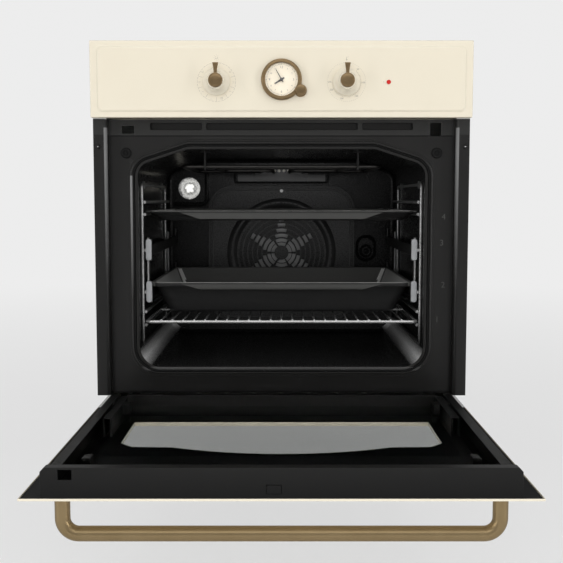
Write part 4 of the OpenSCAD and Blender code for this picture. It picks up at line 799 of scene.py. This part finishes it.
# Painted shade at the rim's foot.
tint(cover_rim_highlight_enamel, y > 0.13195, 0.002)
rim = [(-0.12, 438), (-0.12, 428), (0.1, 426), (0.7, 424.6), (1.6, 423.9), (2.4, 424.1), (3.2, 424.9),
       (4.6, 426), (6, 426), (7.4, 424.9), (8.2, 424), (9, 423.7), (9.9, 424), (10.7, 424.7), (11.2, 425.1)]
rim_loops = stack((rounded_loop(-148 + i, 148 - i, 102 + i, 378 - i, 50 - i, 16), depth) for i, depth in rim)
piece("cover_rim", rim_loops, cover_rim_highlight_enamel, "oven_enamel", "fan_cover", sharp=70)
swell_painted_light_enamel = clouded("swell_painted_light_enamel", 0.018, 0.028, (0.2, 0.3), 0.0, 60, 1, (260, 2e-5))
swell = [(90, -425.1), (91.5, -424.4), (94, -422.7), (97, -421.2), (100, -420.6), (103, -420.8), (106, -421.9),
         (108.5, -423.6), (110, -425.1)]
lathe("cover_swell", swell, (0, FAN_Z), swell_painted_light_enamel, "oven_enamel", "fan_cover", steps=144, sharp=70)

# ----------------------------------------------
# Trays: drawn from one sheet, with a level rim that is rolled under at its edge, sloped walls
# with wide radii, and a lip bent down from the middle of the front rim. Speckled enamel, painted
# grey inside and paler on the side walls as painted light, with painted highlights on the rim's
# roll and the rear corners, and black underneath, where under the roll it is painted shade.
SPECKS = {"scale": 500, "ripple": (260, 3e-5)}
lip_enamel = clouded("lip_enamel", (0.036, 0.036, 0.034), (0.048, 0.048, 0.045), (0.26, 0.34), **SPECKS)
tray_inside_painted_light = clouded("tray_inside_painted_light", (0.11, 0.11, 0.105), (0.15, 0.15, 0.145), (0.28, 0.36), **SPECKS)
tray_rim_highlight = clouded("painted_tray_rim_highlight", (0.3, 0.3, 0.29), (0.55, 0.55, 0.53), (0.2, 0.4), scale=40, contrast=1.5)
tray_underside = clouded("tray_underside", 0.009, 0.015, (0.3, 0.4), **SPECKS, Specular_IOR_Level=0.3)
tray_flank_painted_light = clouded("tray_flank_painted_light", (0.35, 0.35, 0.34), (0.45, 0.45, 0.44), (0.3, 0.4), **SPECKS)
tray_corner_highlight = clouded("painted_tray_corner_highlight", (0.8, 0.8, 0.78), (0.9, 0.9, 0.88), (0.3, 0.4), scale=40)
TRAY_FRONT, TRAY_BACK = 66, 420


def tray_piece(name, half, z, skirt, pan_half, deep, slope, lip_rise, lip_drop, body, stands_for):
    """The tray's shell as loops from the middle of its floor up the inside of the walls, over the
    rim, down its skirt and back under it: a loop at each height goes from the pan's rectangle to
    the rim's. All sizes are in mm: half widths, the rim's height z, the skirt, the pan's depth, the
    slope of its end walls, and how far the front lip rises over the rim and drops below it."""
    shape = []  # half width, front and back depth, corner radius and height of each loop
    middle, bottom = (TRAY_FRONT + TRAY_BACK) / 2, z - deep

    def add(t, rise, offset, radius):
        """A loop a share t of the way up the wall, moved sideways by an offset."""
        inset = slope + (8 - slope) * t - offset
        hx = pan_half + (half - 8 - pan_half) * t + offset
        shape.append((hx, TRAY_FRONT + inset, TRAY_BACK - inset, radius, rise))

    def bend(t, rise, offset, up, out, start, end, steps, radius):
        """Loops round a bend: rise plus up times cosine, offset plus out times sine."""
        for a in np.radians(np.linspace(start, end, steps)):
            add(t, rise + up * math.cos(a), offset + out * math.sin(a), radius)

    shape.append((4, middle - 4, middle + 4, 3, bottom + 0.4))
    add(0, bottom + 0.3, -26, 22)
    add(0, bottom + 0.2, -14, 26)
    bend(0, bottom + 8, -9, -8, 8, 0, 70, 7, 22)
    add(0.5, bottom + deep * 0.55, -0.6, 20)
    bend(1, z - 1, 3.4, 4, -4, 60, 0, 6, 17)
    for inset, rise in ((5.2, 3.05), (3.2, 3.1), (1.6, 3.0), (0.6, 2.5), (0.05, 1.6), (0.1, 0.7 - skirt),
                        (0.8, 0.05 - skirt), (1.8, -skirt), (2.6, 0.5 - skirt), (2.9, 1.3), (4.6, 2.0)):
        shape.append((half - inset, TRAY_FRONT + inset, TRAY_BACK - inset, 18 - inset * 0.5, z + rise))
    bend(1, z - 1, 4.4, 3, -3, 0, 60, 5, 17)
    add(0.5, bottom + deep * 0.55 - 0.7, 0.5, 20)
    bend(0, bottom + 7.8, -9, -8.8, 8.9, 70, 0, 7, 22)
    add(0, bottom - 0.8, -14, 26)
    add(0, bottom - 0.7, -26, 22)
    shape.append((4, middle - 4, middle + 4, 3, bottom - 0.6))
    loops = np.stack([
        np.insert(rounded_loop(-hx, hx, front, back, r) / 1000 + [0, FACE_Y], 2, rise / 1000, axis=1)
        for hx, front, back, r, rise in shape])
    shell = piece(name, loops, tray_inside_painted_light, "tray_enamel", stands_for, body, sharp=70, caps=[0, -1])

    # Each face's finish follows from its distance to the rim's edge, its height and its normal.
    # After the inside's painted light: painted highlight on the roll, black underside with painted shade under
    # the roll, painted light on the side walls, painted highlight on the rear corners.
    for finish in (tray_rim_highlight, tray_underside, tray_flank_painted_light, tray_corner_highlight):
        shell.data.materials.append(finish)
    x, depth, height = (np.array([face.center for face in shell.data.polygons]) - [0, FACE_Y, 0]).T * 1000
    nx, ny, nz = np.array([face.normal for face in shell.data.polygons]).T
    edge = np.minimum(half - np.abs(x), np.minimum(depth - TRAY_FRONT, TRAY_BACK - depth))
    rim_highlight_faces = (edge < 2.4) & (height > z + 2.2)
    below = ~rim_highlight_faces & ((nz < -0.02) | (edge < 0.3) | (edge < 2.4) & (height < z + 2.2))
    wall = (nz > 0.02) & (np.abs(nx) > 0.5) & (edge > 6) & (height > z - deep + 5)
    finish_of = np.select([wall & (ny < -0.4), wall & (np.abs(ny) < 0.2), rim_highlight_faces, below], [4, 3, 1, 2], 0)
    shell.data.polygons.foreach_set("material_index", finish_of.astype(np.int32))

    # The lip: a closed profile of depth and height whose width narrows downwards.
    profile = np.array([
        (0.2, lip_rise), (-0.6, lip_rise - 0.9), (-0.8, 0), (-0.8, -lip_drop + 1.2), (-0.5, -lip_drop + 0.3),
        (0.2, -lip_drop), (1.0, -lip_drop + 0.3), (1.2, -lip_drop + 1.2), (1.2, 0), (1.0, lip_rise - 0.6)])
    share, steps = (lip_rise - profile[:, 1:]) / (lip_rise + lip_drop), 25
    lip = points_of((167 - 33.5 * share) * np.linspace(-1, 1, steps) / 1000,
                    FACE_Y + (TRAY_FRONT + 0.3 + profile[:, :1]) / 1000, (z + profile[:, 1:]) / 1000)
    starts = np.arange(0, lip.shape[0] * steps, steps)
    faces = net(lip, close_rows=True, close_columns=False) + [tuple(starts), tuple(starts + steps - 1)]
    piece(name + "_lip", lip, lip_enamel, "tray_enamel", stands_for, body, faces=faces)


tray_piece("upper_tray", 225.6, 328.3, 0, 210, 12, 14, 0.5, 10.6, "top_tray", "shallow_tray")
tray_piece("lower_tray", 217.8, 210.3, 4, 193, 47, 20, 1.0, 8.3, "lower_carriage", "deep_tray")

# ----------------------------------------------
# Runner clips: pale steel end clips, folded over the front of each runner, which hook it on to
# the rack's rungs.
clip_steel = clouded(
    "clip_steel", (0.3, 0.31, 0.32), (0.42, 0.43, 0.44), (0.35, 0.55), 0.0, 90, 1.5, (900, 1e-5))
RUNNER_X, CLIP_HALF = 217.8, 4.8
CLIP_ROUNDING = ((3.6, 61.4), (1.2, 61.45), (0.4, 61.7), (0, 62.2), (0, 66.1))
for top, body_of in ((275, "upper_{}_slider"), (206, "lower_carriage")):
    for side, word in SIDES:
        x0, x1 = side * RUNNER_X - CLIP_HALF, side * RUNNER_X + CLIP_HALF
        clip = stack((rounded_loop(x0 + i, x1 - i, top - 24.9 + i, top + 10.2 - i, 4.05 - i, 8), depth)
                     for i, depth in CLIP_ROUNDING)
        piece(f"runner_clip_{top}_{word}", clip, clip_steel, "runner_steel", body=body_of.format(word), caps=[0])

# ----------------------------------------------
# Door: an ivory sheet with a window cut-out, a black profile along its top edge, two black side
# channels and three panes of glass. It is hinged below, and here it lies open.
HINGE_Y, LAID_Z = -261.0, 12.0


def laid(x, d, z):
    """A point of the shut door, X, depth and height in mm, where it lies when the door is open:
    its height runs forwards from the hinge, and its depth stands up."""
    return points_of(x, HINGE_Y - np.asarray(z), LAID_Z + np.asarray(d)) / 1000


# The sheet is ivory outside and on its folded edge, and keeps its matt black ground coat inside.
door_ivory, x, y, z = copied(ivory, "door_ivory")
ground = (z > 0.01305) * (abs(x) < 0.2962) * (y > -0.7347)
tint(door_ivory, ground, (0.006, 0.006, 0.0065))
shader = door_ivory.node_tree.nodes["Principled BSDF"]
matt = ground * (abs(x) > 0.27).ramp(0.0, 1.0, 0.3, 0.9)
gloss = Field(shader.inputs["Roughness"].links[0].from_socket)
fill(shader, {"Coat Weight": ground.ramp(0.0, 1.0, 0.4, 0.0), "Roughness": gloss.worked("MAXIMUM", matt)})
rounded("door_skin", "door_panel", door_ivory, 0.5, "door", segments=3)
door_black = clouded(
    "door_black", (0.007, 0.007, 0.0065), (0.011, 0.011, 0.0105), (0.36, 0.46), 0.0, 40, 1, (700, 1e-5),
    Specular_IOR_Level=0.25)
x, y, z = axes_of(door_black)
# The profiles are painted darker towards their lower edge, as painted shade.
tint(door_black, z.ramp(0.054, 0.012), 0.0002)
rounded("door_profiles", "door_frame", door_black, 0.8, "door", segments=3)
hinge_steel = clouded("hinge_steel", 0.012, 0.03, (0.42, 0.6), 0.6, 90, 1.4, (900, 1e-5))
dress(hinge_steel, "hinge_brackets", "door_hinge_arms")

# Glass: the window pane is clear but for a grey cast, the middle pane is clear, and the inner pane
# is smoke grey. Their edges are ground round.
for name, node, finish_name, colour, slot_name in (
        ("inner_pane", "door_inner_glass", "smoke_glass", (0.62, 0.62, 0.615), "black_glass"),
        ("middle_pane", "door_middle_glass", "pane_glass", (0.93, 0.95, 0.94), "clear_glass"),
        ("window_pane", "door_window", "window_glass", 0.9, "window_glass")):
    glass = new_material(finish_name, colour, 0.0, Transmission_Weight=1.0, IOR=1.0)
    rounded(name, node, glass, 0.5, "door")

# Bead: the sheet's cut edge is rolled outwards round the window, 5 mm proud of the door's face.
# Sizes in mm: half the window's width, its foot, where the arc springs, and how far it rises.
WINDOW_X, WINDOW_FOOT, SPRING_X, SPRING_Z, WINDOW_RISE = 223, 106, 149, 250, 33


def window_line(grow):
    """The window's outline grown by some mm, anticlockwise from the foot's right corner: straight
    foot and sides, a cut corner, and an arc of the radius (149 squared + 33 squared) / 66."""
    radius = (SPRING_X ** 2 + WINDOW_RISE ** 2) / 2 / WINDOW_RISE
    lean = math.asin(SPRING_X / radius)
    turn = math.pi / 2 - np.linspace(lean, -lean, 33)
    arch = on_circle(0, SPRING_Z + WINDOW_RISE - radius, radius + grow, turn)
    corner = np.array([(WINDOW_X + grow, WINDOW_FOOT - grow), (WINDOW_X + grow, 228 + 0.5 * grow),
                       (205 + 0.5 * grow, 248 + grow)])
    return np.concatenate([corner, arch, corner[::-1] * [-1, 1]])


bead_profile = [(-0.3, 1.25), (-0.4, 0.4), (-0.35, -4.2), (0.2, -4.9), (1, -5.1), (1.8, -4.8), (2.4, -4),
                (2.8, -2), (3.6, -0.6), (4.8, -0.02)]
bead = np.stack([laid(window_line(grow)[:, 0], d, window_line(grow)[:, 1]) for grow, d in bead_profile])
piece("window_bead", bead, ivory, "ivory_enamel", "door_panel", "door")

# ----------------------------------------------
# Handle: one bent tube of browned brass, satin from use, on two bolts through the door's sheet,
# with a thin turned collar at each foot.
satin = clouded("satin_brass", (0.3, 0.22, 0.115), (0.39, 0.29, 0.16), (0.32, 0.42), 1.0, 40, 1, (1500, 4e-6))
dress(screw_steel, "handle_screws")


def tube(name, path, radius, steps=40):
    """A round tube of satin brass along a path in a plane square to Y. At each point a ring stands
    across the path: radius times cosine along the path's normal plus radius times sine along Y.
    The radius is one number or one for each point, and the ends are closed."""
    ahead = np.gradient(path, axis=0)
    across = np.array([0.0, 1.0, 0.0])
    normal = np.cross(ahead / np.linalg.norm(ahead, axis=1)[:, None], across)[:, None]
    turn = np.linspace(0, 2 * math.pi, steps, endpoint=False)[:, None]
    size = (np.ones(len(path)) * radius)[:, None, None]
    rings = path[:, None] + size * (np.cos(turn) * normal + np.sin(turn) * across)
    piece(name, rings, satin, "aged_brass", "door_handle", "door", sharp=50, caps=[0, -1])


def bent(corners, bend, arc=16):
    """A path of straight legs in a plane with a round bend at each inner corner: the arc starts one
    bend length before the corner and ends one after it, on a circle that touches both legs."""
    path = [corners[:1]]
    for before, corner, after in zip(corners[:-2], corners[1:-1], corners[2:]):
        u = (corner - before) / np.linalg.norm(corner - before)
        v = (after - corner) / np.linalg.norm(after - corner)
        turn = np.linspace(0, math.pi / 2, arc)[:, None]
        path.append(corner + bend * (v - u) + bend * (u * np.sin(turn) - v * np.cos(turn)))
    return np.concatenate(path + [corners[-1:]])


GRIP_X, GRIP_Z, GRIP_OUT = 255.0, 440.0, 50
corners = laid([-GRIP_X, -GRIP_X, GRIP_X, GRIP_X], [-0.1, -GRIP_OUT, -GRIP_OUT, -0.1], GRIP_Z)
tube("handle_tube", bent(corners, 0.019), 0.009)
collar_out, collar_r = np.array([(0.02, 10.2), (0.3, 10.5), (1.6, 10.5), (2.2, 10.2), (2.4, 9.6), (2.5, 9.0)]).T
for side, word in SIDES:
    tube(f"handle_collar_{word}", laid(side * GRIP_X, -collar_out, GRIP_Z), collar_r / 1000)
